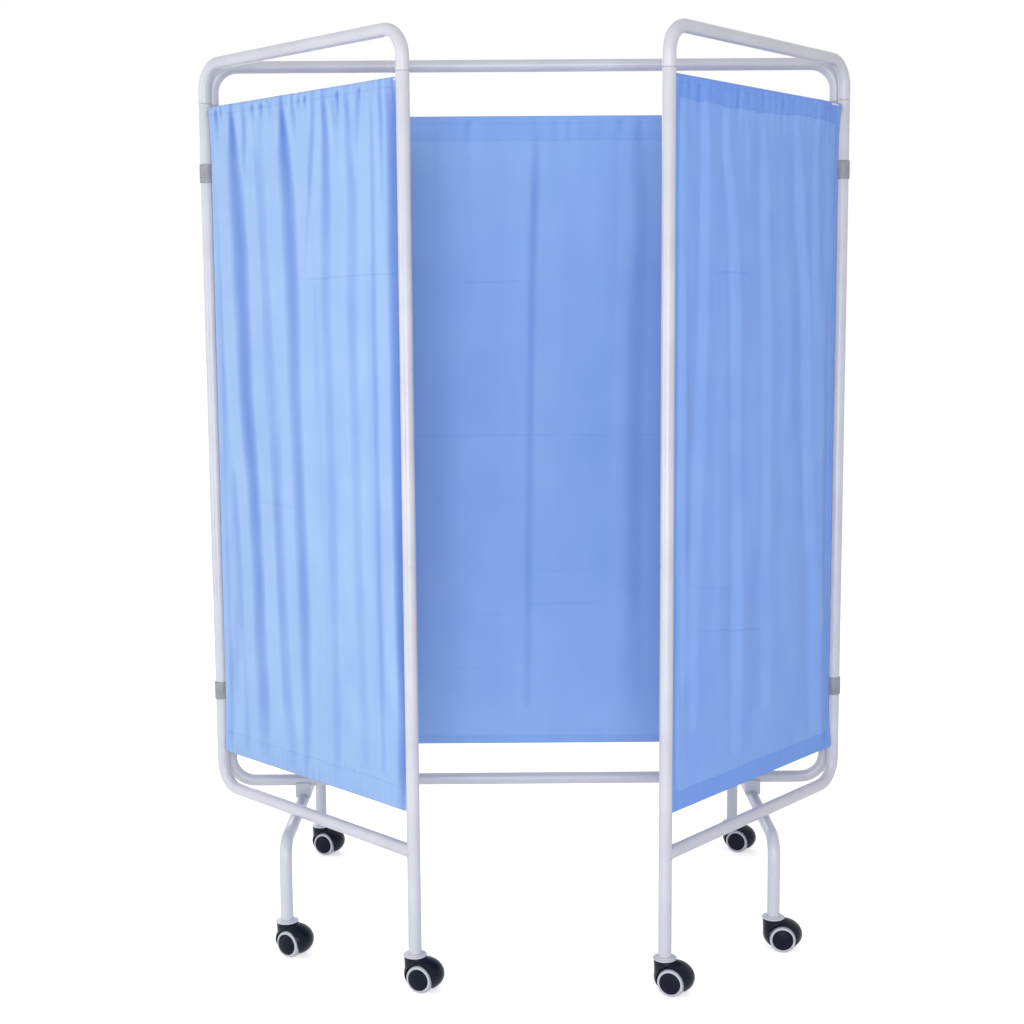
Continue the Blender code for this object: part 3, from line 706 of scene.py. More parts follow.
shapes = {"collar": collarMesh("castorCollar"), "hood": hoodMesh("castorHood"),
          "wheel": wheelMesh("castorWheel"), "axle": axleMesh("castorAxle")}
for side, sign in signs.items():
    feet = {"wing": panelPlace(side) @ Vector((layout["wingSpan"], 0, 0))}
    for end, toBack in (("front", -1), ("rear", 1)):
        feet[end] = Vector((sign * layout["footSpacing"] / 2,
                            layout["setBack"] + toBack * layout["footLength"] / 2, 0))
    for end, foot in feet.items():
        name = side + "_" + end
        node = name + "_castor"
        label = side + end.capitalize()
        upright = Matrix.Translation(foot)
        swivel = upright @ Matrix.Rotation(math.radians(castor["headings"][name]), 4, "Z")
        hub = swivel @ Matrix.Translation((castor["trail"], 0, wheel["radius"]))
        nearHub = hub @ Matrix.Rotation(math.pi, 4, "Z")
        carrier = side + "_wing" if end == "wing" else "centre"
        near, far = name + "_near_wheel", name + "_far_wheel"
        for part, shape, finish, body, kind, slot, place, sharp in (
                ("Collar", "collar", collarGrey, carrier, "_stem", "collar_plastic", upright, 38),
                ("Hood", "hood", hoodCharcoal, node, "_hood", "hood_plastic", swivel, 45),
                ("Axle", "axle", discCharcoal, node, "_axle", "disc_plastic", hub, 50),
                ("NearWheel", "wheel", treadGrey, near, "_near_wheel", "wheel_plastic", nearHub, 50),
                ("FarWheel", "wheel", treadGrey, far, "_far_wheel", "wheel_plastic", hub, 50)):
            addPiece(label + part, shapes[shape].copy(), finish, body, [node + kind], place, sharp)
print("castors made")


# A fold is a row of (height, place across, width, depth), from the top down: over its width the cloth
# steps back, and it comes forward again gently on both sides. The first three are in millimetres, and a
# depth of 1 is the curtain's own steepest slope. A crease of the packing is (height at one end, height at
# the other, from, to, half width, strength), in metres.
# Also in metres are: start and width along the panel, drawnIn at the top, the seams' distances header, hem
# and sideHem, the depths ruffle and pinch, a fold's reach, and wavy, the wander of the header's seam. flap
# is the side of the back flaps, extra the share of cloth that the folds take. The rest are strengths.
curtains = {
    # The three curtains are one cloth. The left one's paler colours are painted light, for the lamp that
    # falls on the left wing, and the centre's, paler than the right's, are painted light against the shade in
    # its niche between the wings. bandShade is painted shade on the doubled cloth; seamLine and rodSeam set
    # the sunk seam lines and their painted shade; shadedSide and shadeFullLean give the side and the lean at
    # which a fold takes its full painted shade.
    "left": {
        "body": "left_wing", "slot": "pale_curtain_cloth", "pale": "#9cbbe5", "deep": "#95b4e2",
        "start": 0.0165, "width": 0.6037, "drawnIn": 0.003, "top": 1.703, "bottom": 0.343, "extra": 0.01,
        "header": 0.021, "hem": 0.05, "sideHem": 0.012, "flap": 1, "columns": 192, "rows": 150, "seed": 11,
        "ruffles": 34, "ruffle": 0.0018, "pinch": 0.0052, "slope": 0.33, "reach": 0.07,
        "bandShade": 0.03, "seamLine": 0.9, "rodSeam": 0.0, "wavy": 0.004, "shadedSide": -1.0, "shadeFullLean": 0.38,
        "folds": (
            ((1695, 98, 12, 0.8), (1668, 98, 20, 1.25), (1593, 98, 42, 1.0), (1498, 106, 60, 0.95),
             (1403, 114, 58, 0.95), (1112, 120, 56, 0.85), (914, 141, 52, 0.8), (505, 157, 48, 0.65),
             (380, 158, 44, 0.3)),
            ((1695, 140, 12, 0.5), (1668, 140, 16, 0.8), (1593, 133, 22, 0.5), (1498, 134, 24, 0.0)),
            ((1593, 178, 24, 0.15), (1403, 197, 34, 0.15), (1112, 225, 44, 0.25), (914, 224, 44, 0.42),
             (505, 242, 40, 0.42), (380, 263, 40, 0.3)),
            ((1695, 272, 12, 0.8), (1668, 271, 18, 1.25), (1593, 272, 42, 1.0), (1498, 282, 52, 0.9),
             (1307, 289, 50, 0.85), (1112, 290, 46, 0.7), (711, 304, 42, 0.65), (422, 308, 34, 0.5),
             (380, 308, 32, 0.3)),
            ((1690, 305, 12, 0.4), (1668, 305, 14, 0.6), (1600, 306, 16, 0.0)),
            ((1695, 374, 12, 0.5), (1668, 372, 16, 0.75), (1593, 363, 16, 0.6), (1498, 350, 14, 0.5),
             (1403, 337, 13, 0.35), (1340, 325, 12, 0.0)),
            ((1695, 406, 12, 0.6), (1668, 406, 16, 1.0), (1593, 407, 26, 0.75), (1498, 404, 36, 0.6),
             (1307, 397, 34, 0.3), (914, 404, 30, 0.15), (422, 407, 28, 0.3), (380, 407, 28, 0.2)),
            ((1690, 431, 10, 0.3), (1668, 431, 12, 0.5), (1610, 436, 14, 0.0)),
            ((1695, 474, 12, 0.4), (1668, 474, 16, 0.75), (1593, 474, 24, 0.5), (1498, 486, 38, 0.35),
             (1307, 480, 36, 0.25), (711, 486, 34, 0.25), (422, 499, 30, 0.2)),
            ((1690, 550, 10, 0.3), (1640, 549, 12, 0.55), (1307, 545, 16, 0.5), (711, 547, 16, 0.5),
             (422, 552, 16, 0.4)),
            ((1695, 577, 10, 0.6), (1668, 576, 12, 1.0), (1593, 577, 14, 0.8), (1498, 578, 14, 0.35),
             (1403, 580, 14, 0.0)),
            ((1703, 607, 28, 0.4), (1668, 603, 38, 0.75), (1112, 606, 38, 0.85), (422, 608, 32, 0.8),
             (343, 610, 26, 0.4)),
            ((1640, 32, 18, 0.2), (914, 36, 20, 0.3), (505, 38, 22, 0.5), (380, 38, 22, 0.4)),
            ((1112, 74, 20, 0.0), (914, 74, 22, 0.3), (505, 95, 24, 0.4), (380, 98, 24, 0.3)),
        ),
        "pinches": (46, 64, 175, 206, 239, 331, 352, 452, 520),
        "creases": (
            (1.346, 1.355, 0.289, 0.64, 0.0024, 1.0),
            (0.9, 0.895, 0.1, 0.3, 0.003, 0.5),
        ),
    },
    "right": {
        "body": "right_wing", "slot": "curtain_cloth", "pale": "#8aaff0", "deep": "#84a9ee",
        "start": 0.0165, "width": 0.6037, "drawnIn": 0.003, "top": 1.703, "bottom": 0.343, "extra": 0.008,
        "header": 0.044, "hem": 0.04, "sideHem": 0.016, "flap": -1, "columns": 192, "rows": 150, "seed": 5,
        "ruffles": 26, "ruffle": 0.0011, "pinch": 0.0032, "slope": 0.24, "reach": 0.06,
        "bandShade": 0.17, "seamLine": 0.8, "rodSeam": 0.5, "wavy": 0.026, "shadedSide": 1.0, "shadeFullLean": 0.8,
        "folds": (
            ((1660, 523, 26, 0.5), (1586, 518, 34, 0.7), (1301, 521, 38, 0.5), (910, 540, 36, 0.4),
             (505, 546, 34, 0.2)),
            ((1660, 452, 22, 0.5), (1586, 451, 30, 0.7), (1492, 430, 38, 0.5), (1301, 411, 44, 0.8),
             (910, 402, 46, 0.5), (709, 393, 46, 0.8), (420, 392, 44, 0.5)),
            ((1660, 382, 20, 0.3), (1586, 374, 26, 0.4), (1480, 370, 28, 0.0)),
            ((1660, 328, 22, 0.4), (1586, 316, 32, 0.6), (1492, 310, 42, 0.7), (1107, 290, 44, 0.3),
             (505, 287, 44, 0.35)),
            ((1660, 200, 24, 0.3), (1586, 183, 36, 0.6), (1492, 176, 46, 0.7), (1301, 147, 46, 0.7),
             (910, 126, 44, 0.6), (709, 99, 40, 0.5), (420, 92, 38, 0.3)),
            ((1660, 67, 16, 0.3), (1492, 60, 20, 0.4), (1301, 66, 20, 0.1)),
            ((1301, 591, 16, 0.4), (709, 584, 16, 0.5), (420, 584, 16, 0.2)),
            ((1400, 578, 12, -0.2), (1107, 572, 12, -0.5), (800, 565, 12, -0.2)),
            ((1660, 98, 14, -0.4), (1492, 98, 22, -0.4), (1300, 84, 24, -0.2), (1107, 86, 20, 0.0)),
            ((1690, 70, 90, -0.6), (1301, 60, 70, -0.6), (1107, 52, 50, -0.7), (380, 46, 34, -0.9)),
        ),
        "pinches": (112, 205, 240, 318, 372, 405, 540, 575, 596),
        "creases": (
            (1.353, 1.353, 0.345, 0.475, 0.0024, 0.9),
            (0.742, 0.772, 0.385, 0.56, 0.0024, 0.6),
            (0.645, 0.681, 0.27, 0.53, 0.0024, 1.0),
        ),
    },
    "centre": {
        "body": "centre", "slot": "curtain_cloth", "pale": "#96b8ed", "deep": "#90b3ea",
        "start": -0.6305, "width": 1.261, "drawnIn": 0.0, "top": 1.686, "bottom": 0.346, "extra": 0.003,
        "header": 0.052, "hem": 0.02, "sideHem": 0.008, "flap": 1, "columns": 300, "rows": 141, "seed": 23,
        "ruffles": 30, "ruffle": 0.0007, "pinch": 0.0034, "slope": 0.24, "reach": 0.06,
        "bandShade": 0.08, "seamLine": 0.8, "rodSeam": 0.6, "wavy": 0.004, "shadedSide": -1.0, "shadeFullLean": 0.8,
        "folds": (
            ((1660, 24, 12, 0.5), (1600, 23, 15, 1.2), (1513, 20, 18, 1.5), (1305, 13, 16, 1.4),
             (880, 6, 16, 1.1), (442, 0, 16, 0.7)),
            ((1640, 204, 16, -0.5), (1513, 212, 22, -0.8), (1305, 202, 22, -0.6), (880, 192, 20, -0.5),
             (442, 190, 20, -0.2)),
            ((1640, 238, 26, 0.3), (1513, 246, 34, 0.5), (1094, 232, 44, 0.6), (663, 230, 44, 0.5),
             (442, 236, 40, 0.2)),
            ((1600, -120, 16, 0.3), (1480, -118, 22, 0.2), (1300, -112, 22, 0.0)),
            ((1640, -182, 20, 0.3), (1300, -186, 40, 0.3), (700, -190, 44, 0.2)),
            ((1640, -320, 26, 0.3), (1094, -318, 40, 0.4), (442, -322, 36, 0.3)),
            ((1640, 340, 24, 0.3), (1094, 346, 36, 0.4), (442, 344, 34, 0.3)),
            ((1640, -480, 22, 0.3), (1094, -470, 36, 0.3), (442, -474, 34, 0.3)),
            ((1640, 500, 22, 0.3), (1094, 492, 36, 0.3), (442, 496, 34, 0.3)),
        ),
        "pinches": (-380, -240, -110, 69, 99, 205, 246, 400, 520),
        "creases": (
            (1.344, 1.344, 0.49, 0.65, 0.0024, 0.8),
            (1.021, 1.021, -0.3, 1.6, 0.0026, 0.5),
            (0.727, 0.729, 0.64, 0.78, 0.003, 0.6),
            (0.655, 0.657, 0.62, 0.81, 0.003, 0.8),
            (0.633, 0.633, 0.52, 0.63, 0.0026, 0.5),
            (0.516, 0.516, 0.45, 0.57, 0.0026, 0.5),
        ),
    },
}
cloth = {
    "thickness": 0.0005,
    "gap": 0.0013,               # sheet to its back flaps
    "rod": 0.0047,               # rod with the play of its pocket
    "rodInset": 0.0055,          # rod's axis inside the sheet's top and bottom
    "wrapSteps": 7,
    "roundTop": 0.045,           # heights over which the sheet leaves its rods
    "roundBottom": 0.060,
    "gatherTop": 0.05,           # heights over which the gathers fade
    "gatherBottom": 0.03,
    "pinchStart": 0.008,
    "pinchReach": 0.045,
    "pinchWide": (0.0035, 0.010),    # at the pocket, and what it grows by
    "foldFade": 0.030,           # height over which a fold fades past its ends
    "roundOver": (6, 1.5),       # columns that round a fold, and the spread of their shares
    "limit": 0.0115,             # how far a fold may stand off the panel's plane
    "coarse": 3,                 # points of the sheet to one point of its simulated copy
    "frames": 14,
    "mostSettled": 0.006,
    "settledShare": 0.5,
}
# Cloth simulation of the coarse copies
hanging = {
    "quality": 5, "mass": 0.12, "air_damping": 4,
    "tension_stiffness": 22, "compression_stiffness": 22, "shear_stiffness": 8, "bending_stiffness": 2.0,
    "tension_damping": 12, "compression_damping": 12, "shear_damping": 8, "bending_damping": 2,
    "vertex_group_mass": "pins", "pin_stiffness": 1.0,
}

# Sizes in the cloth in metres, and what its marks do to colour and relief
weave = {
    "thread": 0.0018,
    "doubledEdge": 0.0006,
    "seam": (0.0005, 0.0012),    # full and gone, off its middle
    "rodSeam": (0.0004, 0.0014),
    "rodLine": 0.0165,
    "stitch": 0.0032,
    "stitchInset": 0.002,
    "stitchGap": -0.4,           # of the sine along a seam
    "hemWander": 0.008,
    "puckerReach": (0.002, 0.028),
    "noises": {                  # size, how much shorter it is along the cloth, detail, roughness
        "wander": (0.070, 1.0, 1.5, 0.5),
        "pucker": (0.011, 0.22, 2.0, 0.5),
        "soft": (0.045, 0.08, 1.5, 0.4),
        "rumple": (0.120, 1.0, 2.0, 0.45),
        "slub": (0.030, 14.0, 2.0, 0.5),
    },
    "creaseDrift": 0.010,
    "creaseEdge": 0.2,           # share of its half width at full strength
    "creaseFade": (0.3, 0.5),    # shares of its length, from its middle
    # lean at which a fold's painted shade starts, and the colour of that painted shade
    "shadeStartLean": -0.06,
    "paintedShadeColour": "#9aacda",
    # lines and creases darken the colour as painted shade in the sunk seams and creases; stitches, threads
    # and slubs are the cloth's own tone
    "shades": {"lines": 0.09, "stitches": -0.05, "threads": -0.012, "slubs": -0.05, "creases": 0.12},
    "relief": {"threads": 0.00006, "doubled": 0.0004, "lines": -0.0006, "stitches": 0.0004,
               "puckers": 0.0030, "soft": 0.0012, "rumple": 0.0014, "creases": 0.0006},
}


def smoothStep(value):
    value = np.clip(value, 0, 1)
    return value * value * (3 - 2 * value)


# Smooth random curve along one direction, the same on every run
def wander(seed, count, knots):
    picks = np.random.default_rng(seed).uniform(-1, 1, knots + 3)
    places = np.linspace(0, knots, count)
    index = np.floor(places).astype(int)
    t = smoothStep(places - index)
    return picks[index] * (1 - t) + picks[index + 1] * t


# Height of the folds at one level, from the entries above and below it
def foldRow(facts, across, level):
    height = np.zeros(len(across))
    for fold in facts["folds"]:
        levels, places, widths, depths = np.array(fold[::-1]).T / 1000
        place, wide = np.interp(level, levels, places), np.interp(level, levels, widths)
        depth = 1000 * np.interp(level, levels, depths)
        past = max(level - levels[-1], levels[0] - level)
        if past > 0:
            depth *= max(0, 1 - past / cloth["foldFade"])
        step = smoothStep((across - place) / wide + 0.5)
        gentle = np.clip((across - place) / (2 * facts["reach"]) + 0.5, 0, 1)
        height += depth * facts["slope"] * wide * (gentle - step)
    return height


# Uneven gathers across a curtain, from 0 to 1
def gathers(facts, columns):
    count, seed = facts["ruffles"], facts["seed"]
    spread = 2.2 * wander(seed, columns, count // 3)
    ruffle = 0.5 + 0.5 * np.sin(2 * math.pi * count * np.linspace(0, 1, columns) + spread)
    return ruffle * (0.55 + 0.45 * wander(seed + 1, columns, count // 2))


# Each pinch's place across, depth, reach and lean
def headerPinches(facts):
    picks = np.random.default_rng(facts["seed"] + 2)
    return [(spot / 1000, picks.uniform(0.6, 1.2), picks.uniform(0.6, 1.5), picks.uniform(-0.1, 0.1))
            for spot in facts["pinches"]]


# Sheet held by its two rods: folds are laid in, then settle by simulation
def hungGrid(side):
    facts = curtains[side]
    columns, rows = facts["columns"] + 1, facts["rows"] + 1
    rodTop, rodBottom = facts["top"] - cloth["rodInset"], facts["bottom"] + cloth["rodInset"]
    across = facts["start"] + facts["width"] * np.linspace(0, 1, columns)
    outward = -facts["flap"]
    ruffle = facts["ruffle"] * gathers(facts, columns)
    pinches = headerPinches(facts)
    narrow, widening = cloth["pinchWide"]
    place = np.zeros((rows, columns, 3))
    for row, height in enumerate(np.linspace(rodBottom, rodTop, rows)):
        below, above = rodTop - height, height - rodBottom
        topShare = math.exp(-(below / cloth["roundTop"]) ** 2)
        bottomShare = math.exp(-(above / cloth["roundBottom"]) ** 2)
        fading = math.exp(-below / cloth["gatherTop"]) + 0.5 * math.exp(-above / cloth["gatherBottom"])
        dents = np.zeros(columns)
        for spot, depth, reach, lean in pinches:
            fall = below / (cloth["pinchReach"] * reach)
            wide = narrow + widening * min(1.5, fall)
            strength = facts["pinch"] * depth * math.exp(-fall) * min(1, below / cloth["pinchStart"])
            dents += strength * np.exp(-((across - spot - lean * below) / wide) ** 2)
        drawn = facts["drawnIn"] * above / (rodTop - rodBottom)
        stand = cloth["rod"] * max(topShare, bottomShare)
        place[row, :, 0] = across + drawn * np.linspace(1, 0, columns)
        place[row, :, 1] = outward * (foldRow(facts, across, height) + ruffle * fading - dents + stand)
        place[row, :, 2] = height
    # valleys and ridges rounded as cloth of this thickness rounds them
    reach, spread = cloth["roundOver"]
    kernel = np.exp(-(np.arange(-reach, reach + 1) / spread) ** 2)
    kernel /= kernel.sum()
    padded = np.pad(place[:, :, 1], ((0, 0), (reach, reach)), mode="edge")
    place[:, :, 1] = np.apply_along_axis(lambda line: np.convolve(line, kernel, mode="valid"), 1, padded)
    place[:, :, 1] += settled(side, place)
    limit = cloth["limit"]
    place[:, :, 1] = limit * np.tanh(place[:, :, 1] / limit)
    return place


# How far each point of the sheet moves off its folds as it settles between its rods: a coarser copy of it
# hangs as simulated cloth a little wider than its rods, and only its soft waves are taken over.
def settled(side, place):
    facts = curtains[side]
    coarse = place[::cloth["coarse"], ::cloth["coarse"]]
    rows, columns = coarse.shape[:2]
    work = bmesh.new()
    grid = [[work.verts.new(point) for point in line] for line in coarse]
    for lower, upper in zip(grid, grid[1:]):
        for index in range(columns - 1):
            work.faces.new((lower[index], lower[index + 1], upper[index + 1], upper[index]))
    item = newObject(side + "Cloth", meshFrom(work, side + "Cloth"))
    item.shape_key_add(name="hung")
    flat = item.shape_key_add(name="cut")
    rest = coarse.copy()
    middle = facts["start"] + facts["width"] / 2
    rest[:, :, 0] = middle + (rest[:, :, 0] - middle) * (1 + facts["extra"])
    flat.data.foreach_set("co", rest.reshape(-1))
    flat.value = 0
    pins = item.vertex_groups.new(name="pins")
    pins.add(list(range(columns)) + list(range(columns * (rows - 1), columns * rows)), 1.0, "REPLACE")
    change = item.modifiers.new("hang", "CLOTH")
    for name, value in hanging.items():
        setattr(change.settings, name, value)
    change.settings.rest_shape_key = flat
    change.collision_settings.use_collision = False
    change.point_cache.frame_start = 1
    change.point_cache.frame_end = cloth["frames"]
    for frameNumber in range(1, cloth["frames"] + 1):
        scene.frame_set(frameNumber)
    hung = bakedMesh(item)
    scene.frame_set(1)
    points = np.zeros(rows * columns * 3)
    hung.vertices.foreach_get("co", points)
    bpy.data.meshes.remove(hung)
    moved = points.reshape(rows, columns, 3)[:, :, 1] - coarse[:, :, 1]
    moved = np.clip(moved, -cloth["mostSettled"], cloth["mostSettled"]) * cloth["settledShare"]
    # smoothed over its neighbours, and nothing at the side edges, which their hems keep straight
    for _ in range(3):
        moved[1:-1] = (moved[:-2] + 2 * moved[1:-1] + moved[2:]) / 4
        moved[:, 1:-1] = (moved[:, :-2] + 2 * moved[:, 1:-1] + moved[:, 2:]) / 4
    moved *= smoothStep(np.minimum(np.arange(columns), np.arange(columns)[::-1]) / 3)
    fineRows, fineColumns = (np.arange(count) / cloth["coarse"] for count in place.shape[:2])
    wide = np.array([np.interp(fineColumns, np.arange(columns), line) for line in moved])
    return np.array([np.interp(fineRows, np.arange(rows), line) for line in wide.T]).T


# One row of a back flap: close behind the sheet, and as far off as the rod in the rows beside it
def flapLine(base, flap, away):
    near = max(0, 1 - away / 3)
    line = base.copy()
    line[:, 1] = (base[:, 1] + flap * cloth["gap"]) * (1 - near) + flap * cloth["rod"] * near
    return line


# Rows of cloth round a rod, from the sheet's edge to the back
def wrapLines(base, flap, upward):
    made = []
    for step in range(1, cloth["wrapSteps"]):
        angle = math.pi * step / cloth["wrapSteps"]
        share = (1 - math.cos(angle)) / 2
        line = base.copy()
        line[:, 1] = base[:, 1] * (1 - share) + flap * cloth["rod"] * share
        line[:, 2] = base[:, 2] + upward * cloth["rod"] * math.sin(angle)
        made.append(line)
    return made


def pathAlong(points):
    return np.concatenate([[0], np.cumsum(np.linalg.norm(np.diff(points, axis=0), axis=1))])


# The whole cut: back flap of the bottom hem, round the rod, the sheet, round the top rod, back flap of the
# header
def curtainMesh(side):
    facts = curtains[side]
    front = hungGrid(side)
    rows, columns = front.shape[:2]
    flap, wrapSteps = facts["flap"], cloth["wrapSteps"]
    pitch = (front[-1, 0, 2] - front[0, 0, 2]) / (rows - 1)
    hemRows, headRows = (max(2, round(facts[name] / pitch)) for name in ("hem", "header"))
    lines = [flapLine(front[row], flap, row) for row in range(hemRows, 0, -1)]
    lines += wrapLines(front[0], flap, -1)[::-1]
    lines += list(front)
    lines += wrapLines(front[-1], flap, 1)
    lines += [flapLine(front[-1 - away], flap, away) for away in range(1, headRows + 1)]
    grid = np.array(lines)
    along = pathAlong(grid[:, columns // 2])
    across = pathAlong(front[rows // 2]) * (1 + facts["extra"])
    work = bmesh.new()
    uv = work.loops.layers.uv.new("cut")
    verts = [[work.verts.new(point) for point in line] for line in grid]
    for row in range(len(grid) - 1):
        for index in range(columns - 1):
            corners = ((row, index), (row, index + 1), (row + 1, index + 1), (row + 1, index))
            face = work.faces.new([verts[r][c] for r, c in corners])
            for loop, (r, c) in zip(face.loops, corners):
                loop[uv].uv = (across[c], along[r])
    mesh = meshFrom(work, side + "Curtain")
    # lean of the cloth to either side, which the material turns into painted shade on the side of a fold that
    # leans away from the lamps
    rise = np.gradient(grid[:, :, 1] * -flap, axis=1) / np.gradient(grid[:, :, 0], axis=1).clip(1e-5)
    lean = mesh.attributes.new("lean", "FLOAT", "POINT")
    lean.data.foreach_set("value", rise.reshape(-1))
    return mesh, {"bottom": along[hemRows + wrapSteps // 2],
                  "top": along[hemRows + wrapSteps - 1 + rows - 1 + wrapSteps // 2],
                  "width": float(across[-1]), "length": along[-1]}


# Polyester and cotton, plain woven and dyed: matt. Painted shade darkens the side of each fold that leans
# away from the lamps. Threads are 0.45 mm apart; they are drawn 1.8 mm apart so that the weave shows. Doubled
# cloth at header and hems lets less light through, and its deeper band is painted shade; seams pull in along
# their stitches, with painted shade in their sunk lines, and the folds of the packing stay as creases,
# darkened by painted shade.
def clothMaterial(side, cut):
    facts = curtains[side]
    material, tree, shader = newMaterial("plainWeave" + side.capitalize(), {
        "Roughness": 0.86, "Sheen Weight": 0.12, "Sheen Roughness": 0.45, "Specular IOR Level": 0.22})
    where = addNode(tree, "UVMap", {"uv_map": "cut"})
    apart = addNode(tree, "SeparateXYZ", {}, [where])
    across, along = apart.outputs["X"], apart.outputs["Y"]
    add, subtract, multiply, multiplyAdd, largest, absolute, sine, above = (
        {"operation": kind} for kind in
        ("ADD", "SUBTRACT", "MULTIPLY", "MULTIPLY_ADD", "MAXIMUM", "ABSOLUTE", "SINE", "GREATER_THAN"))
    fading = {"To Min": 1.0, "To Max": 0.0}

    # seams' wander, puckers, long soft wrinkles, small ones across the cloth, and thicker threads
    marks = {}
    for name, (size, stretch, detail, roughness) in weave["noises"].items():
        drawn = addNode(tree, "Mapping", {"Scale": (1.0, stretch, 1.0)}, [where])
        marks[name] = addNode(tree, "TexNoise", {
            "Scale": 1 / size, "Detail": detail, "Roughness": roughness}, [drawn])

    # distance in metres from the curtain's top, bottom and sides, with the wander of hand-fed seams
    centred = addNode(tree, "Math", subtract, [marks["wander"], 0.5])
    topShift = addNode(tree, "Math", multiply, [centred, facts["wavy"]])
    hemShift = addNode(tree, "Math", multiply, [centred, weave["hemWander"]])
    halfWidth = cut["width"] / 2
    fromTop, fromBottom, fromMiddle = (
        addNode(tree, "Math", absolute, [addNode(tree, "Math", subtract, [course, place])])
        for course, place in ((along, cut["top"]), (along, cut["bottom"]), (across, halfWidth)))
    topFar = addNode(tree, "Math", add, [fromTop, topShift])
    bottomFar = addNode(tree, "Math", add, [fromBottom, hemShift])
    sideFar = addNode(tree, "Math", subtract, [halfWidth, fromMiddle])

    # doubled cloth, a line of stitches a little inside each seam, and the puckers beside it
    doubled, lines, stitches, pull = 0.0, 0.0, 0.0, 0.0
    (seamFull, seamGone), (pullFull, pullGone), (rodFull, rodGone) = (
        weave[name] for name in ("seam", "puckerReach", "rodSeam"))
    for far, inset, course in ((topFar, facts["header"], across), (bottomFar, facts["hem"], across),
                               (sideFar, facts["sideHem"], along)):
        edge = weave["doubledEdge"]
        part = addNode(tree, "MapRange", fading | {"From Min": inset - edge, "From Max": inset + edge}, [far])
        offset = addNode(tree, "Math", subtract, [far, inset - weave["stitchInset"]])
        nearby = addNode(tree, "Math", absolute, [offset])
        line = addNode(tree, "MapRange", fading | {"From Min": seamFull, "From Max": seamGone}, [nearby])
        wave = addNode(tree, "Math", sine, [
            addNode(tree, "Math", multiply, [course, 2 * math.pi / weave["stitch"]])])
        dash = addNode(tree, "Math", above, [wave, weave["stitchGap"]])
        stitch = addNode(tree, "Math", multiply, [line, dash])
        doubled = addNode(tree, "Math", largest, [doubled, part])
        lines = addNode(tree, "Math", largest, [lines, line])
        stitches = addNode(tree, "Math", largest, [stitches, stitch])
        if course is across:
            reach = addNode(tree, "MapRange", fading | {"From Min": pullFull, "From Max": pullGone}, [nearby])
            pull = addNode(tree, "Math", largest, [pull, reach])
    rodFar = addNode(tree, "Math", absolute, [addNode(tree, "Math", subtract, [fromTop, weave["rodLine"]])])
    rodLine = addNode(tree, "MapRange", {
        "From Min": rodFull, "From Max": rodGone, "To Min": facts["rodSeam"], "To Max": 0.0}, [rodFar])
    sewn = addNode(tree, "Math", multiply, [lines, facts["seamLine"]])
    lines = addNode(tree, "Math", largest, [sewn, rodLine])
    pucker = addNode(tree, "Math", subtract, [marks["pucker"], 0.5])
    puckers = addNode(tree, "Math", multiply, [pucker, pull])

    # creases of the packing
    creases = 0.0
    drift = addNode(tree, "Math", multiplyAdd, [centred, weave["creaseDrift"], along])
    for first, last, start, end, wide, strength in facts["creases"]:
        slope = (last - first) / (end - start)
        level = cut["bottom"] + first - facts["bottom"] - slope * start
        tilted = addNode(tree, "Math", multiplyAdd, [across, -slope, drift])
        off = addNode(tree, "Math", absolute, [addNode(tree, "Math", subtract, [tilted, level])])
        fullWide = wide * weave["creaseEdge"]
        line = addNode(tree, "MapRange", {
            "From Min": fullWide, "From Max": wide, "To Min": strength, "To Max": 0.0}, [off])
        offMiddle = addNode(tree, "Math", subtract, [across, (start + end) / 2])
        aside = addNode(tree, "Math", absolute, [offMiddle])
        fadeStart, fadeEnd = ((end - start) * share for share in weave["creaseFade"])
        reach = addNode(tree, "MapRange", fading | {"From Min": fadeStart, "From Max": fadeEnd}, [aside])
        creases = addNode(tree, "Math", largest, [creases, addNode(tree, "Math", multiply, [line, reach])])

    # threads, and the thicker ones among the weft
    spin = 2 * math.pi / weave["thread"]
    warp, weft = (addNode(tree, "Math", sine, [addNode(tree, "Math", multiply, [course, spin])])
                  for course in (across, along))
    threads = addNode(tree, "Math", multiply, [warp, weft])
    slubs = addNode(tree, "Math", subtract, [marks["slub"], 0.5])
    marks.update({"doubled": doubled, "lines": lines, "stitches": stitches, "puckers": puckers,
                  "creases": creases, "threads": threads, "slubs": slubs})

    # colour: the dye, with painted shade where a fold leans away from the lamps, on the doubled cloth, in the
    # sunk seam lines and in the creases; stitches, threads and slubs are the cloth's own tone
    lean = addNode(tree, "Attribute", {"attribute_name": "lean"}).outputs["Fac"]
    dye = addNode(tree, "ValToRGB", {"stops": [
        (0.3, toLinear(facts["deep"])), (0.7, toLinear(facts["pale"]))]}, [marks["rumple"]])
    towards = addNode(tree, "Math", multiply, [lean, facts["shadedSide"]])
    turned = addNode(tree, "MapRange", {"From Min": weave["shadeStartLean"], "From Max": facts["shadeFullLean"]}, [towards])
    paintedFoldShade = addNode(
        tree, "Mix", {"data_type": "RGBA", "blend_type": "MULTIPLY", 7: toLinear(weave["paintedShadeColour"])},
        {0: turned, 6: dye})
    depth = addNode(tree, "Math", multiplyAdd, [doubled, facts["bandShade"], 1.0])
    for name, amount in weave["shades"].items():
        depth = addNode(tree, "Math", multiplyAdd, [marks[name], amount, depth])
    tint = addNode(tree, "Gamma", {}, {"Color": paintedFoldShade.outputs[2], "Gamma": depth})

    # relief in metres
    height = 0.0
    for name, amount in weave["relief"].items():
        height = addNode(tree, "Math", multiplyAdd, [marks[name], amount, height])
    bump = addNode(tree, "Bump", {"Strength": 0.8, "Distance": 1.0}, {"Height": height})
    feed(tree, shader, {"Base Color": tint, "Normal": bump})
    return material


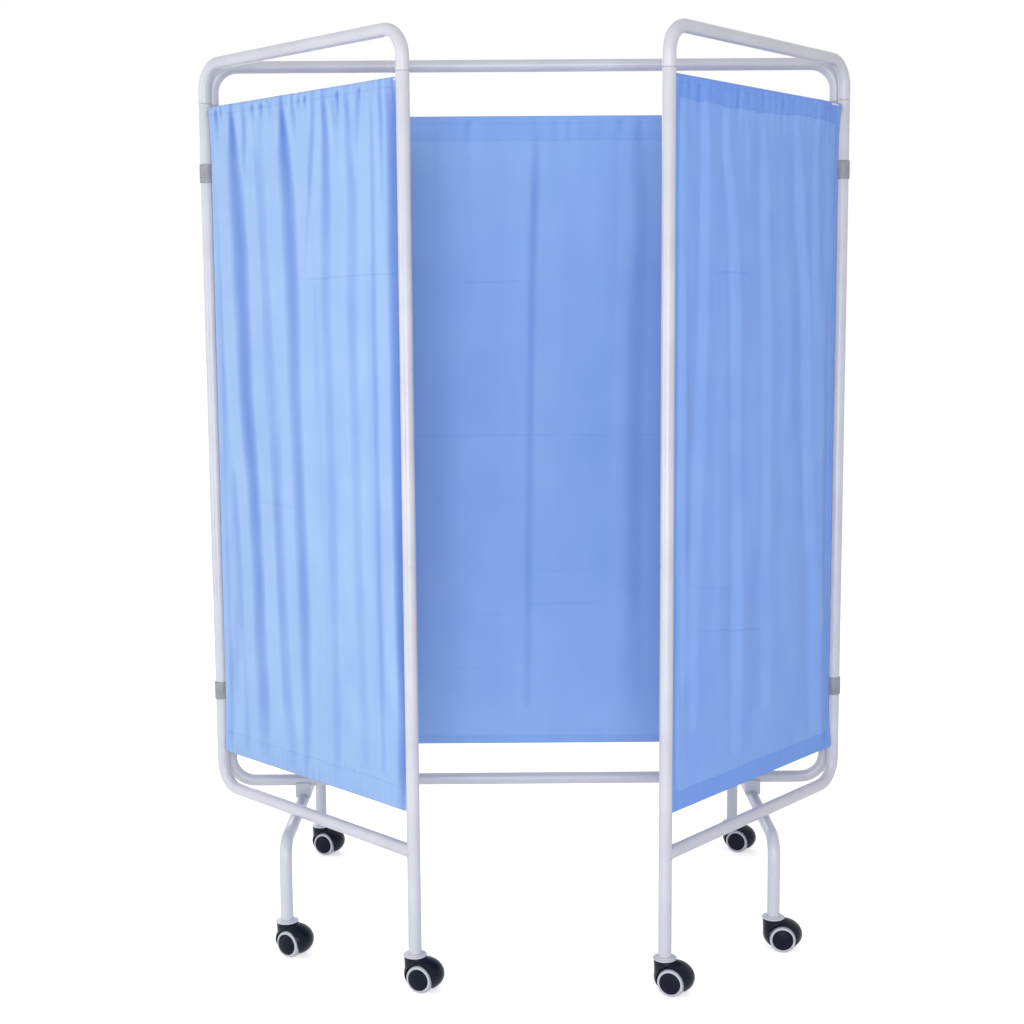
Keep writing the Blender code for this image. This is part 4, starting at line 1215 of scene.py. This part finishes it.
for side, facts in curtains.items():
    mesh, cut = curtainMesh(side)
    material = clothMaterial(side, cut)
    node = "centre_curtain" if side == "centre" else side + "_wing_curtain"
    piece = addPiece(side + "Curtain", mesh, material, facts["body"], [node],
                     panelPlace(side), 180)
    thick = piece.modifiers.new("thickness", "SOLIDIFY")
    thick.thickness = cloth["thickness"]
    thick.offset = 0
    print(side, "curtain hung:", round(cut["width"], 3), "by", round(cut["length"], 3), "m")


studio = {
    "lamps": {
        "keyLamp": {"place": (-4.3, -1.6, 1.7), "aim": 0.95, "size": (1.8, 2.4), "power": 50},
        "fillLamp": {"place": (-0.1, -3.9, 1.6), "aim": 0.9, "size": (1.6, 2.2), "power": 72},
        "backLamp": {"place": (-1.7, 4.1, 1.9), "aim": 0.95, "size": (2.4, 2.2), "power": 45},
    },
    "world": 0.60,
    "floor": "#f2f2f2",
    "floorGlow": 0.50,
    "floorReach": 30,
    "floorDrop": 0.0004,
}
either = {"operation": "MAXIMUM"}    # of two tests of a ray


# Matt pale floor; the camera and glossy surfaces see it brightened to the white of the background
def floorMaterial():
    material, tree, shader = newMaterial("paleStudioFloor", {
        "Base Color": toLinear(studio["floor"]), "Roughness": 0.9})
    glow = addNode(tree, "Emission", {"Color": (1, 1, 1, 1), "Strength": studio["floorGlow"]})
    both = addNode(tree, "AddShader", links=[shader, glow])
    rays = addNode(tree, "LightPath").outputs
    seen = addNode(tree, "Math", either, [rays["Is Camera Ray"], rays["Is Glossy Ray"]])
    mix = addNode(tree, "MixShader", links=[seen, shader, both])
    feed(tree, tree.nodes["Material Output"], {"Surface": mix})
    return material


reach = studio["floorReach"]
floorMesh = bpy.data.meshes.new("studioFloor")
floorMesh.from_pydata(
    [(-reach, -reach, 0), (reach, -reach, 0), (reach, reach, 0), (-reach, reach, 0)], [], [(0, 1, 2, 3)])
floorMesh.materials.append(floorMaterial())
floor = newObject("studioFloor", floorMesh)
floor.location.z = -studio["floorDrop"]

for name, facts in studio["lamps"].items():
    lamp = bpy.data.lights.new(name, "AREA")
    lamp.shape = "RECTANGLE"
    lamp.size, lamp.size_y = facts["size"]
    lamp.energy = facts["power"]
    item = newObject(name, lamp)
    item.location = facts["place"]
    ahead = zAxis * facts["aim"] - Vector(facts["place"])
    item.rotation_euler = ahead.to_track_quat("-Z", "Y").to_euler()

world = bpy.data.worlds.new("studio")
scene.world = world
world.use_nodes = True
sky = world.node_tree
sky.nodes.clear()
rays = addNode(sky, "LightPath").outputs
seen = addNode(sky, "Math", either, [rays["Is Camera Ray"], rays["Is Glossy Ray"]])
through = addNode(sky, "Math", either, [seen, rays["Is Transmission Ray"]])
level = addNode(sky, "MapRange", {"To Min": studio["world"], "To Max": 1.0}, {"Value": through})
backdrop = addNode(sky, "Background", {"Color": (1, 1, 1, 1)}, {"Strength": level})
addNode(sky, "OutputWorld", links={"Surface": backdrop})

# Place in metres, turns in degrees, and a lens of 1640 pixels on a picture of 1024
view = {"place": (-0.0369, -3.3802, 1.2892), "pitch": 7.0967, "yaw": 0.099, "roll": -0.3847,
        "sensor": 36, "lens": 1640 / 1024 * 36, "farEnd": 100}


def addCamera():
    pitch, yaw, roll = (math.radians(view[key]) for key in ("pitch", "yaw", "roll"))
    ahead = Vector((math.sin(yaw) * math.cos(pitch), math.cos(yaw) * math.cos(pitch), -math.sin(pitch)))
    right = Vector((math.cos(yaw), -math.sin(yaw), 0))
    over = right.cross(ahead)
    tiltedRight = right * math.cos(roll) + over * math.sin(roll)
    tiltedOver = over * math.cos(roll) - right * math.sin(roll)
    camera = newObject("camera", bpy.data.cameras.new("camera"))
    turn = Matrix((tiltedRight, tiltedOver, -ahead)).transposed().to_4x4()
    camera.matrix_world = Matrix.Translation(view["place"]) @ turn
    camera.data.sensor_width = view["sensor"]
    camera.data.lens = view["lens"]
    camera.data.clip_end = view["farEnd"]
    scene.camera = camera


addCamera()
print("studio set")
